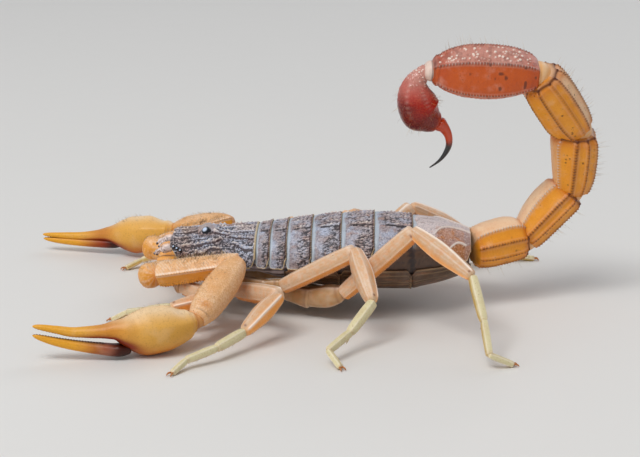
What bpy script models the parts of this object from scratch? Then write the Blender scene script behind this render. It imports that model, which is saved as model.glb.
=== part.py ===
"""A life-size scorpion, standing still with its claws spread and its tail arched over its back.

The head points to -X, the left side to -Y and up is +Z. Lengths below are in millimetres, and the
finished solids are in metres. Every plate, limb segment and tail segment is an object of its own.
"""

import math

import bmesh
import bpy
from mathutils import Vector

MM = 0.001
GAP = 0.08  # clear space between neighbouring pieces
FOOT_HEIGHT = 0.2  # height of the middle of the last foot segment's end
SMOOTH_ANGLE = 40.0  # degrees between faces, above which an edge is shaded sharp
SOLE = 0.02  # what lies under this height is pressed flat to the floor
FORWARD = Vector((-1.0, 0.0, 0.0))
ACROSS = Vector((0.0, 1.0, 0.0))
UP = Vector((0.0, 0.0, 1.0))

# Colour, roughness and metallic value of each finish.
FINISHES = {
    "shell": ((0.24, 0.21, 0.19), 0.55, 0.0),
    "belly": ((0.30, 0.22, 0.15), 0.5, 0.0),
    "eye": ((0.01, 0.01, 0.012), 0.08, 0.0),
    "jaw": ((0.55, 0.47, 0.45), 0.45, 0.0),
    "amber": ((0.70, 0.33, 0.10), 0.38, 0.0),
    "leg": ((0.72, 0.42, 0.22), 0.42, 0.0),
    "foot": ((0.78, 0.62, 0.38), 0.42, 0.0),
    "tail": ((0.66, 0.27, 0.06), 0.42, 0.0),
    "tail_end": ((0.45, 0.11, 0.04), 0.4, 0.0),
    "venom": ((0.16, 0.025, 0.02), 0.2, 0.0),
    "sting": ((0.03, 0.012, 0.01), 0.2, 0.0),
}

# Back shield: place along X, height of the side edge, half width, rise above and drop below that edge.
SHIELD_DEPTH = 0.3  # how far the shield hangs below its edge
CARAPACE = [
    (-7.85, 5.18, 2.45, 1.10, 0.40),
    (-7.62, 5.12, 2.62, 1.24, 0.42),
    (-6.80, 4.98, 2.96, 1.44, 0.45),
    (-5.60, 4.86, 3.32, 1.62, 0.45),
    (-4.20, 4.76, 3.62, 1.82, 0.45),
    (-2.70, 4.68, 3.90, 2.00, 0.45),
    (-1.20, 4.66, 4.10, 2.16, 0.45),
    (-0.55, 4.66, 4.14, 2.22, 0.45),
]
# Hill of the middle eyes: centre and half axes. Right eye: centre and radius.
EYE_HILL = ((-4.85, 0.0, 6.12), (0.95, 0.78, 0.58))
EYE = ((-4.85, 0.50, 6.45), 0.39)
EYE_CLEARANCE = 0.03  # between an eye and its socket
# Breast under the shield, with the same columns.
BREAST = [
    (-7.55, 4.52, 1.80, 0.12, 1.1),
    (-7.00, 4.42, 2.35, 0.12, 1.2),
    (-4.00, 4.20, 3.00, 0.12, 1.05),
    (-0.62, 4.12, 3.55, 0.12, 0.85),
]

# Seven body rings: rear edge along X, top there, half width, height of the side edge, underside.
BODY_FRONT = (-0.45, 7.14, 4.06, 4.70, 3.50)
BODY_RINGS = [
    (0.62, 7.00, 4.12, 4.72, 3.40),
    (2.06, 7.18, 4.24, 4.74, 3.25),
    (4.15, 7.45, 4.34, 4.76, 2.90),
    (6.64, 7.72, 4.38, 4.78, 2.35),
    (9.44, 7.88, 4.36, 4.78, 1.92),
    (12.71, 7.68, 4.16, 4.80, 1.86),
]
# Share of a ring's length, and how far its outline is drawn in there.
RING_SWELL = ((0.0, 0.16), (0.22, 0.1), (0.34, 0.0), (0.8, 0.0), (1.0, 0.03))
# The last body ring narrows to the tail, with the same columns.
LAST_RING = [
    (12.80, 7.45, 4.00, 4.82, 1.98),
    (13.60, 7.56, 4.02, 4.84, 2.10),
    (15.20, 7.22, 3.62, 4.88, 2.45),
    (16.90, 6.65, 2.75, 4.92, 2.95),
    (17.78, 6.38, 2.12, 4.95, 3.25),
]

# Tail: length, yaw and pitch of each segment. A pitch over 90 degrees leans back towards the head.
TAIL_ROOT = Vector((17.95, 0.0, 4.95))
TAIL = [(4.85, 159, 7), (5.7, 168, 45), (5.8, 80, 103), (6.85, 146, 130), (8.9, 174, 177)]
# Share of the length, half width, then the height of the back (the curl's inner side) and of the keel side.
TAIL_SHAPES = [
    [
        (0.0, 1.50, 1.50, 1.45),
        (0.10, 1.75, 1.92, 1.68),
        (0.35, 1.95, 2.22, 1.82),
        (0.65, 2.00, 2.32, 1.78),
        (0.84, 2.00, 2.16, 1.70),
        (1.0, 1.65, 1.60, 1.42),
    ],
    [
        (0.0, 1.55, 1.32, 1.35),
        (0.13, 1.80, 1.60, 1.48),
        (0.35, 1.95, 2.08, 1.52),
        (0.65, 2.00, 2.34, 1.56),
        (0.88, 2.00, 2.24, 1.58),
        (1.0, 1.65, 1.65, 1.36),
    ],
    [
        (0.0, 1.55, 1.30, 1.50),
        (0.12, 1.80, 1.58, 1.82),
        (0.35, 1.95, 1.85, 2.08),
        (0.62, 2.00, 2.10, 2.12),
        (0.86, 2.00, 2.30, 1.98),
        (1.0, 1.65, 1.70, 1.55),
    ],
    [
        (0.0, 1.55, 1.35, 1.45),
        (0.10, 1.75, 1.72, 1.72),
        (0.35, 1.90, 2.15, 2.00),
        (0.65, 1.95, 2.10, 2.08),
        (0.88, 1.90, 1.95, 1.92),
        (1.0, 1.55, 1.35, 1.45),
    ],
    [
        (0.0, 1.50, 1.10, 1.25),
        (0.10, 1.78, 1.55, 1.85),
        (0.28, 2.02, 2.12, 2.30),
        (0.48, 2.10, 2.36, 2.42),
        (0.65, 2.05, 2.28, 2.35),
        (0.82, 1.82, 1.90, 1.98),
        (0.94, 1.42, 1.35, 1.42),
        (1.0, 1.15, 1.00, 1.10),
    ],
]
# Venom bulb and sting: centre line and radius.
VESICLE_PATH = [
    (14.02, -2.10, 20.90, 0.64),
    (13.42, -2.08, 20.72, 0.62),
    (12.98, -2.05, 20.18, 0.88),
    (12.80, -2.02, 19.38, 1.30),
    (12.94, -1.98, 18.42, 1.62),
    (13.36, -1.88, 17.45, 1.74),
    (14.12, -1.74, 16.78, 1.18),
    (14.88, -1.60, 16.38, 0.66),
]
STING_PATH = [
    (14.98, -1.58, 16.32, 0.60),
    (15.30, -1.54, 15.98, 0.46),
    (15.66, -1.46, 15.30, 0.34),
    (15.72, -1.36, 14.50, 0.27),
    (15.42, -1.24, 13.72, 0.20),
    (14.90, -1.16, 13.05, 0.12),
    (14.12, -1.10, 12.45, 0.05),
]

# Legs from front to back: lengths of trochanter, femur, patella, tibia and the two foot segments.
LEG_LENGTHS = {
    1: (1.0, 4.3, 4.2, 2.8, 2.4, 1.7),
    2: (1.4, 6.0, 4.8, 3.2, 2.8, 1.8),
    3: (1.4, 7.3, 5.4, 3.5, 3.0, 1.9),
    4: (2.8, 8.2, 6.9, 4.0, 3.5, 2.2),
}
# Inner end of each coxa under the breast, and the hip at its outer end, for the right side.
COXAE = {
    1: ((-6.5, 0.95, 2.65), (-7.2, 3.15, 2.6)),
    2: ((-4.8, 0.95, 2.55), (-3.0, 3.6, 2.6)),
    3: ((-3.3, 0.95, 2.45), (0.6, 3.8, 2.6)),
    4: ((-2.0, 1.05, 2.15), (4.4, 4.1, 1.75)),
}
# Yaw (0 forward, 90 straight out, 180 backward) and pitch of the leg segments, from the trochanter on.
# The last segment's pitch follows from the floor.
LEG_POSE = {
    ("left", 1): [(127, 0), (134, -1), (31, 0), (-36, -17), (-42, -16), (-17, 0)],
    ("left", 2): [(141, -3), (129, 10), (52, -24), (51, -8), (36, -9), (56, 0)],
    ("left", 3): [(156, 12), (164, 30), (110, -34), (52, -31), (56, -12), (126, 0)],
    ("left", 4): [(160, 16), (172, 44), (137, -21), (107, -45), (96, -30), (197, 0)],
    ("right", 1): [(121, 0), (137, 2), (36, -7), (7, -16), (-5, -18), (-31, 0)],
    ("right", 2): [(113, -10), (149, 25), (80, -26), (60, -25), (50, -16), (60, 0)],
    ("right", 3): [(157, -10), (148, 27), (124, -30), (100, -20), (90, -18), (110, 0)],
    ("right", 4): [(161, -9), (161, 41), (160, -30), (97, -41), (172, -2), (176, 0)],
}
COXA_GIRTH = {1: 0.62, 2: 0.64, 3: 0.64, 4: 0.84}  # at the hip
# Half width and half height of the femur, patella, tibia, basitarsus and telotarsus.
LEG_GIRTH = {
    1: ((0.58, 0.72), (0.58, 0.70), (0.40, 0.44), (0.31, 0.34), (0.25, 0.26)),
    2: ((0.66, 0.84), (0.66, 0.84), (0.42, 0.46), (0.32, 0.36), (0.26, 0.27)),
    3: ((0.68, 0.78), (0.74, 0.92), (0.45, 0.48), (0.33, 0.37), (0.26, 0.28)),
    4: ((0.70, 0.82), (0.70, 0.82), (0.42, 0.46), (0.33, 0.37), (0.27, 0.28)),
}

# Share of the length, then the width and the height as shares of the half width and half height.
FEMUR_SWELL = ((0.0, 0.95, 0.75), (0.25, 1.0, 0.95), (0.6, 1.0, 1.0), (0.88, 0.95, 0.9), (1.0, 0.8, 0.7))
KNEE_SWELL = ((0.0, 0.8, 0.6), (0.16, 1.0, 0.92), (0.45, 1.05, 1.05), (0.8, 0.9, 0.78), (1.0, 0.68, 0.52))
CLAW_REACH = 0.42  # from the foot's end to the tips of its claws
CLAW_HEIGHT = 0.14

# Pedipalps: knuckle, start of the femur, then length, yaw and pitch of femur, patella, hand, fingers.
ARM_ROOT = (-7.9, 2.2, 3.7)
KNUCKLES = {"left": (-9.45, 3.45, 3.45), "right": (-9.65, 3.40, 4.00)}
KNUCKLE_SIZE = (1.05, 1.0, 1.12)
ARM_START = {"left": (-8.80, 4.40, 3.85), "right": (-9.80, 4.30, 3.60)}
CLAW_SPREAD = {"left": 1.0, "right": 0.74}  # how far the fingers stand apart
ARM_LENGTHS = (7.3, 7.3, 6.3, 7.1)
ARM_POSE = {
    "left": [(169, 12), (63, -25), (26, -4), (6, 6)],
    "right": [(151, 10), (40, -16), (13, -11), (8, -2)],
}
ARM_GIRTH = {"left": 1.0, "right": 0.88}
# Share of the length, half width and half height.
ARM_SHAPE = [(0.0, 0.80, 0.84), (0.12, 0.95, 1.0), (0.4, 0.92, 0.98), (0.75, 0.9, 0.92), (1.0, 0.74, 0.78)]
PATELLA_SHAPE = [
    (0.0, 0.76, 0.78),
    (0.2, 1.20, 1.20),
    (0.45, 1.36, 1.36),
    (0.75, 1.26, 1.28),
    (1.0, 0.74, 0.76),
]
# Hand: place along it in millimetres, shift upward, half width, half height up and down.
HAND_SHAPE = [
    (0.0, 0.0, 0.76, 0.70, 0.74), (0.7, 0.0, 1.25, 1.02, 1.28), (1.7, 0.02, 1.65, 1.42, 1.74),
    (3.0, 0.05, 1.86, 1.82, 2.02), (4.2, 0.10, 1.74, 1.90, 2.08), (5.2, 0.22, 1.44, 1.62, 1.72),
    (6.1, 0.38, 1.10, 1.22, 1.12), (6.9, 0.43, 0.84, 0.88, 0.68), (8.0, 0.28, 0.62, 0.60, 0.50),
    (9.8, 0.10, 0.46, 0.44, 0.40), (11.6, 0.20, 0.34, 0.32, 0.30), (12.9, 0.32, 0.22, 0.20, 0.20),
    (13.4, 0.34, 0.08, 0.08, 0.08),
]
# The same for the movable finger, which lies under the fixed one.
FINGER_SHAPE = [
    (5.6, -0.98, 0.62, 0.40, 0.50), (6.5, -1.06, 0.70, 0.46, 0.58), (8.2, -1.06, 0.58, 0.44, 0.52),
    (9.8, -1.00, 0.46, 0.42, 0.44), (11.5, -0.80, 0.35, 0.34, 0.36), (12.8, -0.54, 0.22, 0.20, 0.24),
    (13.35, -0.42, 0.08, 0.08, 0.08),
]
# Right jaw: centre line, half width and half height. Right comb under the belly: the same.
JAW_SHAPE = [
    (-7.95, 0.94, 5.30, 0.56, 0.40),
    (-8.35, 0.95, 5.30, 0.62, 0.46),
    (-8.80, 0.93, 5.20, 0.60, 0.45),
    (-9.15, 0.90, 5.02, 0.48, 0.36),
    (-9.55, 0.86, 4.72, 0.24, 0.20),
]
COMB_PATH = [(3.3, 0.55, 2.30), (4.2, 1.25, 2.16), (5.4, 2.05, 2.08), (6.5, 2.75, 2.10)]
COMB_GIRTH = [(0.30, 0.26), (0.62, 0.27), (0.60, 0.26), (0.26, 0.25)]


def clear_scene():
    for thing in list(bpy.data.objects):
        bpy.data.objects.remove(thing, do_unlink=True)


def finish(name):
    """The material of that name, made once."""
    made = bpy.data.materials.get(name)
    if made:
        return made
    colour, roughness, metallic = FINISHES[name]
    made = bpy.data.materials.new(name)
    made.use_nodes = True
    shader = made.node_tree.nodes["Principled BSDF"]
    shader.inputs["Base Color"].default_value = (*colour, 1.0)
    shader.inputs["Roughness"].default_value = roughness
    shader.inputs["Metallic"].default_value = metallic
    return made


def direction(side, yaw, pitch):
    """Unit vector from a yaw (0 forward, 90 outward, 180 backward) and a pitch above the horizon."""
    turn = math.radians(yaw)
    climb = math.radians(pitch)
    flat = math.cos(climb)
    return Vector((-math.cos(turn) * flat, side * math.sin(turn) * flat, math.sin(climb)))


def bent(value, power):
    """A sine or cosine bent so that rings grow squarer as power falls below 1."""
    return math.copysign(abs(value) ** power, value)


def ring_points(at, ahead, sideways, girth, count, power):
    """One closed ring round a point: girth is half width, half height up, half height down."""
    across = (sideways - ahead * sideways.dot(ahead)).normalized()
    over = ahead.cross(across)
    wide, tall, deep = girth
    points = []
    for k in range(count):
        angle = math.tau * (k + 0.5) / count
        x = wide * bent(math.cos(angle), power)
        z = bent(math.sin(angle), power)
        z *= tall if z > 0 else deep
        points.append(at + across * x + over * z)
    return points


def headings(path, before=None, after=None):
    """Direction at each point of a path, halfway between the stretches that meet there."""
    runs = [(b - a).normalized() for a, b in zip(path, path[1:])]
    joined = [before or runs[0]] + runs + [after or runs[-1]]
    return [(a + b).normalized() for a, b in zip(joined, joined[1:])]


def solid(name, rings, material):
    """A closed solid through a row of rings, placed at the middle of the first one."""
    base = sum(rings[0], Vector()) / len(rings[0])
    mesh = bpy.data.meshes.new(name)
    shape = bmesh.new()
    loops = [[shape.verts.new((p - base) * MM) for p in ring] for ring in rings]
    for one, two in zip(loops, loops[1:]):
        for k in range(len(one)):
            n = (k + 1) % len(one)
            shape.faces.new((one[k], two[k], two[n], one[n]))
    shape.faces.new(loops[0])
    shape.faces.new(list(reversed(loops[-1])))
    bmesh.ops.recalc_face_normals(shape, faces=shape.faces)
    bmesh.ops.triangulate(shape, faces=shape.faces)
    shape.to_mesh(mesh)
    shape.free()
    mesh.materials.append(finish(material))
    mesh.shade_smooth()
    mesh.set_sharp_from_angle(angle=math.radians(SMOOTH_ANGLE))
    piece = bpy.data.objects.new(name, mesh)
    piece.location = base * MM
    bpy.context.scene.collection.objects.link(piece)
    return piece


def sweep(name, path, girths, material, sideways, count=10, power=0.85, before=None, after=None):
    """A limb piece along a path. The ends face their neighbours and stand back by half the gap."""
    turns = headings(path, before, after)
    spots = list(path)
    spots[0] = path[0] + turns[0] * GAP / 2
    spots[-1] = path[-1] - turns[-1] * GAP / 2
    rings = [
        ring_points(at, ahead, sideways, girth, count, power)
        for at, ahead, girth in zip(spots, turns, girths)
    ]
    return solid(name, rings, material)


def carve(piece, cutters):
    """Takes the cutters out of a piece, then removes them."""
    for cutter in cutters:
        cut = piece.modifiers.new("cut", "BOOLEAN")
        cut.object = cutter
        cut.operation = "DIFFERENCE"
    bake(piece)
    for cutter in cutters:
        bpy.data.objects.remove(cutter, do_unlink=True)


def bake(piece):
    """Applies a piece's modifiers and triangulates what they leave."""
    mesh = bpy.data.meshes.new_from_object(piece.evaluated_get(bpy.context.evaluated_depsgraph_get()))
    piece.modifiers.clear()
    shape = bmesh.new()
    shape.from_mesh(mesh)
    bmesh.ops.remove_doubles(shape, verts=shape.verts, dist=1e-7)
    bmesh.ops.triangulate(shape, faces=shape.faces)
    shape.to_mesh(mesh)
    shape.free()
    piece.data = mesh


def ball(name, at, size, material):
    """An ellipsoid from an icosphere, with half axes in size."""
    mesh = bpy.data.meshes.new(name)
    shape = bmesh.new()
    bmesh.ops.create_icosphere(shape, subdivisions=2, radius=1.0)
    for corner in shape.verts:
        corner.co = Vector([c * s * MM for c, s in zip(corner.co, size)])
    shape.to_mesh(mesh)
    shape.free()
    mesh.materials.append(finish(material))
    mesh.shade_smooth()
    piece = bpy.data.objects.new(name, mesh)
    piece.location = Vector(at) * MM
    bpy.context.scene.collection.objects.link(piece)
    return piece


def mirrored(point, side):
    return Vector((point[0], side * point[1], point[2]))


def along(start, stop, share):
    return start + (stop - start) * share


def plate_rings(rows, count, power):
    """Rings that stand across the body, from rows of X, side height, half width, rise and drop."""
    return [
        ring_points(Vector((x, 0.0, edge)), -FORWARD, ACROSS, (wide, rise, drop), count, power)
        for x, edge, wide, rise, drop in rows
    ]


def flatten_below(rings, rows, depth):
    """Presses the lower half of each ring into a level underside, depth below its edge."""
    for ring, row in zip(rings, rows):
        for point in ring:
            if point.z < row[1]:
                point.z = max(point.z, row[1] - depth)
    return rings


def build_carapace():
    rings = plate_rings(CARAPACE, 20, 0.8)
    shield = solid("carapace", flatten_below(rings, CARAPACE, SHIELD_DEPTH), "shell")
    hill = ball("hill", *EYE_HILL, "shell")
    join = shield.modifiers.new("hill", "BOOLEAN")
    join.object = hill
    join.operation = "UNION"
    bake(shield)
    bpy.data.objects.remove(hill, do_unlink=True)
    at, radius = EYE
    sockets = []
    for side, label in ((-1, "left"), (1, "right")):
        place = mirrored(at, side)
        sockets.append(ball("socket_" + label, place, [radius + EYE_CLEARANCE] * 3, "shell"))
        ball("median_eye_" + label, place, [radius] * 3, "eye")
    carve(shield, sockets)


def build_prosoma_underside():
    solid("prosoma_underside", plate_rings(BREAST, 16, 0.6), "belly")


def build_body():
    before = BODY_FRONT
    front = before[0]
    for number, row in enumerate(BODY_RINGS, start=1):
        rear = row[0]
        rows = []
        for share, shrink in RING_SWELL:
            mix = [a + (b - a) * share for a, b in zip(before, row)]
            x = front + (rear - GAP - front) * share
            _, top, wide, edge, under = mix
            rows.append((x, edge, wide - shrink, top - edge - shrink, edge - under - shrink))
        solid(f"body_ring_{number}", plate_rings(rows, 20, 0.78), "shell")
        before = row
        front = rear
    rows = [(x, edge, wide, top - edge, edge - under) for x, top, wide, edge, under in LAST_RING]
    solid("body_ring_7", plate_rings(rows, 20, 0.8), "shell")


def tail_points():
    points = [TAIL_ROOT]
    for length, yaw, pitch in TAIL:
        points.append(points[-1] + direction(1, yaw, pitch) * length)
    return points


def build_tail():
    joints = tail_points()
    runs = [(b - a).normalized() for a, b in zip(joints, joints[1:])]
    tip = (Vector(VESICLE_PATH[1][:3]) - Vector(VESICLE_PATH[0][:3])).normalized()
    level = Vector((runs[0].x, -runs[0].y, -runs[0].z))
    ends = [level] + runs + [(runs[-1] + tip).normalized()]
    for number, shape in enumerate(TAIL_SHAPES, start=1):
        a, b = joints[number - 1], joints[number]
        path = [along(a, b, row[0]) for row in shape]
        girths = [row[1:] for row in shape]
        material = "tail_end" if number == len(TAIL) else "tail"
        sweep(
            f"tail_segment_{number}", path, girths, material, ACROSS,
            count=16, power=0.78, before=ends[number - 1], after=ends[number + 1],
        )
    path = [Vector(row[:3]) for row in VESICLE_PATH]
    girths = [(row[3] * 0.95, row[3], row[3]) for row in VESICLE_PATH]
    sweep("vesicle", path, girths, "venom", ACROSS, count=14, power=0.95)
    path = [Vector(row[:3]) for row in STING_PATH]
    girths = [(row[3], row[3], row[3]) for row in STING_PATH]
    sweep("sting", path, girths, "sting", ACROSS, count=10, power=1.0)


def leg_joints(side, label, number):
    """Hip, trochanter end, knee and the rest, with the last point at the foot's height."""
    points = [mirrored(COXAE[number][1], side)]
    lengths = LEG_LENGTHS[number]
    for length, (yaw, pitch) in zip(lengths[:-1], LEG_POSE[label, number]):
        points.append(points[-1] + direction(side, yaw, pitch) * length)
    drop = (FOOT_HEIGHT - points[-1].z) / lengths[-1]
    yaw = LEG_POSE[label, number][-1][0]
    points.append(points[-1] + direction(side, yaw, math.degrees(math.asin(drop))) * lengths[-1])
    return points


def level_side(ahead):
    """The horizontal direction across a limb that heads ahead."""
    return UP.cross(Vector((ahead.x, ahead.y, 0.0))).normalized()


def build_leg(side, label, number):
    hip, ankle, knee, shin, heel, toe, tip = leg_joints(side, label, number)
    inner = mirrored(COXAE[number][0], side)
    femur, patella, tibia, heel_part, toe_part = LEG_GIRTH[number]
    name = f"leg_{label}_{number}_"
    wide, tall = femur
    thick = COXA_GIRTH[number]
    path = [inner, along(inner, hip, 0.55), hip, along(hip, ankle, 0.6)]
    girths = [(0.34, 0.45, 0.45), (0.46, 0.58, 0.55), (thick * 0.9, thick, thick), (wide, thick, thick)]
    path += [along(ankle, knee, share) for share, _, _ in FEMUR_SWELL]
    girths += [(wide * w, tall * h, tall * h) for _, w, h in FEMUR_SWELL]
    after = (shin - knee).normalized()
    sweep(name + "upper", path, girths, "leg", level_side(knee - hip), count=8, power=0.9, after=after)
    wide, tall = patella
    path = [along(knee, shin, share) for share, _, _ in KNEE_SWELL]
    girths = [(wide * w, tall * h, tall * h) for _, w, h in KNEE_SWELL]
    sweep(
        name + "patella", path, girths, "leg", level_side(shin - knee), count=8, power=0.9,
        before=(knee - ankle).normalized(), after=(heel - shin).normalized(),
    )
    build_foot(name + "foot", (shin, heel, toe, tip), (tibia, heel_part, toe_part), after)


def build_foot(name, joints, sizes, before):
    """Tibia, both tarsal segments and the pair of claws at the end, in one piece."""
    shin, heel, toe, tip = joints
    path = [shin]
    girths = [(sizes[0][0] * 0.9, sizes[0][1] * 0.95, sizes[0][1] * 0.95)]
    for a, b, (wide, tall) in zip(joints, joints[1:], sizes):
        for share, grow in ((0.2, 1.0), (0.85, 0.97)):
            path.append(along(a, b, share))
            girths.append((wide * grow, tall * grow, tall * grow))
    path.append(tip)
    girths.append((0.2, 0.21, 0.21))
    ahead = (tip - toe).normalized()
    hook = tip + Vector((ahead.x, ahead.y, 0.0)) * CLAW_REACH
    hook.z = CLAW_HEIGHT
    path.append(hook)
    girths.append((0.13, 0.15, 0.15))
    across = level_side(heel - shin if (heel - shin).xy.length > 0.5 else tip - toe)
    turns = headings(path, before)
    rings = []
    for at, heading, girth in zip(path, turns, girths):
        middle = at + heading * GAP / 2 if at is shin else at
        ring = ring_points(middle, heading, across, girth, 8, 0.95)
        rings.append([Vector((p.x, p.y, 0.0 if p.z < SOLE else p.z)) for p in ring])
    solid(name, rings, "foot")


def arm_joints(side, label):
    points = [mirrored(ARM_START[label], side)]
    for length, (yaw, pitch) in zip(ARM_LENGTHS, ARM_POSE[label]):
        points.append(points[-1] + direction(side, yaw, pitch) * length)
    return points


def hand_path(joints, rows, spread):
    """Places along the hand and finger line, shifted up in the plane of the fingers."""
    _, _, wrist, palm, tip = joints
    hand = (palm - wrist).normalized()
    finger = (tip - palm).normalized()
    reach = (palm - wrist).length
    path = []
    for place, lift, _, _, _ in rows:
        blend = min(max((place - reach + 1.6) / 3.2, 0.0), 1.0)
        inner = wrist + hand * min(place, reach) + finger * max(place - reach, 0.0)
        smooth = hand.lerp(finger, blend).normalized()
        rise = (UP - smooth * smooth.z).normalized()
        path.append(inner + rise * lift * spread)
    return path


def elbow_room(start, elbow, after):
    """The outer half of the femur made a gap's width fatter: what the patella must keep clear of."""
    rows = [row for row in ARM_SHAPE if row[0] >= 0.4]
    path = [along(start, elbow, share) for share, _, _ in rows]
    girths = [(w + GAP, h + GAP, h + GAP) for _, w, h in rows]
    across = level_side(elbow - start)
    return sweep("room", path, girths, "amber", across, count=12, power=0.8, after=after)


def build_arm(side, label):
    joints = arm_joints(side, label)
    start, elbow, wrist, palm, tip = joints
    name = f"pedipalp_{label}_"
    knuckle_at = mirrored(KNUCKLES[label], side)
    root = mirrored(ARM_ROOT, side)
    knuckle = ball(name + "trochanter", knuckle_at, KNUCKLE_SIZE, "amber")
    girths = [(0.55, 0.6, 0.6), (0.7, 0.7, 0.7)]
    stalk = sweep("stalk", [root, along(root, knuckle_at, 0.9)], girths, "amber", UP)
    join = knuckle.modifiers.new("stalk", "BOOLEAN")
    join.object = stalk
    join.operation = "UNION"
    bake(knuckle)
    bpy.data.objects.remove(stalk, do_unlink=True)
    path = [along(start, elbow, share) for share, _, _ in ARM_SHAPE]
    girths = [(w, h, h) for _, w, h in ARM_SHAPE]
    across = level_side(elbow - start)
    bend = (wrist - elbow).normalized()
    arm = sweep(name + "femur", path, girths, "amber", across, count=12, power=0.8, after=bend)
    carve(arm, [ball("hollow", knuckle_at, [s + GAP for s in KNUCKLE_SIZE], "amber")])
    path = [along(elbow, wrist, share) for share, _, _ in PATELLA_SHAPE]
    slim = ARM_GIRTH[label]
    girths = [(w * slim, h * slim, h * slim) for _, w, h in PATELLA_SHAPE]
    across = level_side(wrist - elbow)
    upper = sweep(
        name + "patella", path, girths, "amber", across, count=12, power=0.85,
        before=(elbow - start).normalized(), after=(palm - wrist).normalized(),
    )
    carve(upper, [elbow_room(start, elbow, bend)])
    across = level_side(palm - wrist)
    girths = [[size * slim for size in row[2:]] for row in HAND_SHAPE]
    path = hand_path(joints, HAND_SHAPE, CLAW_SPREAD[label])
    hand = sweep(name + "hand", path, girths, "amber", across, count=14, power=0.9, before=bend)
    girths = [[size * slim for size in row[2:]] for row in FINGER_SHAPE]
    path = hand_path(joints, FINGER_SHAPE, CLAW_SPREAD[label])
    sweep(name + "movable_finger", path, girths, "amber", across, count=10, power=0.9)
    swollen = [(w + GAP, u + GAP, d + GAP) for w, u, d in girths]
    path[0] = path[0] - (path[1] - path[0]).normalized() * 0.1
    carve(hand, [sweep("slot", path, swollen, "amber", across, count=10, power=0.9)])


def build_jaws():
    for side, label in ((-1, "left"), (1, "right")):
        path = [mirrored(row[:3], side) for row in JAW_SHAPE]
        girths = [(wide, tall, tall) for _, _, _, wide, tall in JAW_SHAPE]
        sweep("chelicera_" + label, path, girths, "jaw", ACROSS, count=10, power=0.85)


def build_combs():
    for side, label in ((-1, "left"), (1, "right")):
        path = [mirrored(point, side) for point in COMB_PATH]
        girths = [(wide, tall, tall) for wide, tall in COMB_GIRTH]
        sweep("pecten_" + label, path, girths, "jaw", level_side(path[-1] - path[0]), count=8)


def centre_on_floor():
    """Moves the whole animal so that its box is centred on the origin and stands on Z = 0."""
    bpy.context.view_layer.update()
    corners = [piece.matrix_world @ v.co for piece in bpy.data.objects for v in piece.data.vertices]
    low = Vector([min(c[i] for c in corners) for i in range(3)])
    high = Vector([max(c[i] for c in corners) for i in range(3)])
    middle = (low + high) / 2
    for piece in bpy.data.objects:
        piece.location -= Vector((middle.x, middle.y, low.z))


def main():
    clear_scene()
    build_carapace()
    build_prosoma_underside()
    build_jaws()
    build_body()
    build_combs()
    build_tail()
    for side, label in ((-1, "left"), (1, "right")):
        build_arm(side, label)
        for number in LEG_LENGTHS:
            build_leg(side, label, number)
    centre_on_floor()


main()
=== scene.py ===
"""A life-size scorpion with claws spread and tail arched, modelled plate by plate around its frame."""

import math

import bpy
import numpy as np
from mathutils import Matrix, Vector


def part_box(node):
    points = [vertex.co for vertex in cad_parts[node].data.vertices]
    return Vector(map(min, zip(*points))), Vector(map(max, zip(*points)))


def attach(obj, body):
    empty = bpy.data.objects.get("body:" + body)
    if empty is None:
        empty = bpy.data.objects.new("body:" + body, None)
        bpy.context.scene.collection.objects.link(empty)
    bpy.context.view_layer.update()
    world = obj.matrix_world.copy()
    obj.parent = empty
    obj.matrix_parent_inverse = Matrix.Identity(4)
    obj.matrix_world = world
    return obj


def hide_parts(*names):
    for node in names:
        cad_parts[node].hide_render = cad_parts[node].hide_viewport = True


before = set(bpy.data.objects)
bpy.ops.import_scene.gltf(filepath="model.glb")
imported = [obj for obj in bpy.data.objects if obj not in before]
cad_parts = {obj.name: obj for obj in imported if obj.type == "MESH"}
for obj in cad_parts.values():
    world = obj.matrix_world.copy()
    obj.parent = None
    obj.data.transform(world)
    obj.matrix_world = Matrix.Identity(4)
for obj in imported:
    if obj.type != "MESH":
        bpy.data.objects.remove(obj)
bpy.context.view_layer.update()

bl_info = {
    "name": "Life-size Scorpion",
    "version": (1, 0, 0),
    "blender": (4, 5, 0),
    "location": "3D View > Sidebar > Scorpion",
    "description": "Builds a standing scorpion, plate by plate, around its fixed frame",
    "category": "Object",
}

# Lengths are in millimetres until a mesh is written. The head points to -X, the left side to -Y, up is +Z.
MM = 0.001
UP = np.array([0.0, 0.0, 1.0])
ACROSS = np.array([0.0, 1.0, 0.0])
# Middle eye: its centre and radius in the frame, the radius it is shown with and how far it stands out.
EYE = (-4.85, 0.5, 6.45)
EYE_SIZE = 0.39
EYE_SHOWN = 0.455
EYE_STANDS = (0.0, 0.05, 0.03)
# Share of each limb's stated turns and rings that is made, so that the whole animal stays light enough.
LIMB_FINENESS = 0.77
SIDES = ((-1, "left"), (1, "right"))

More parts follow.
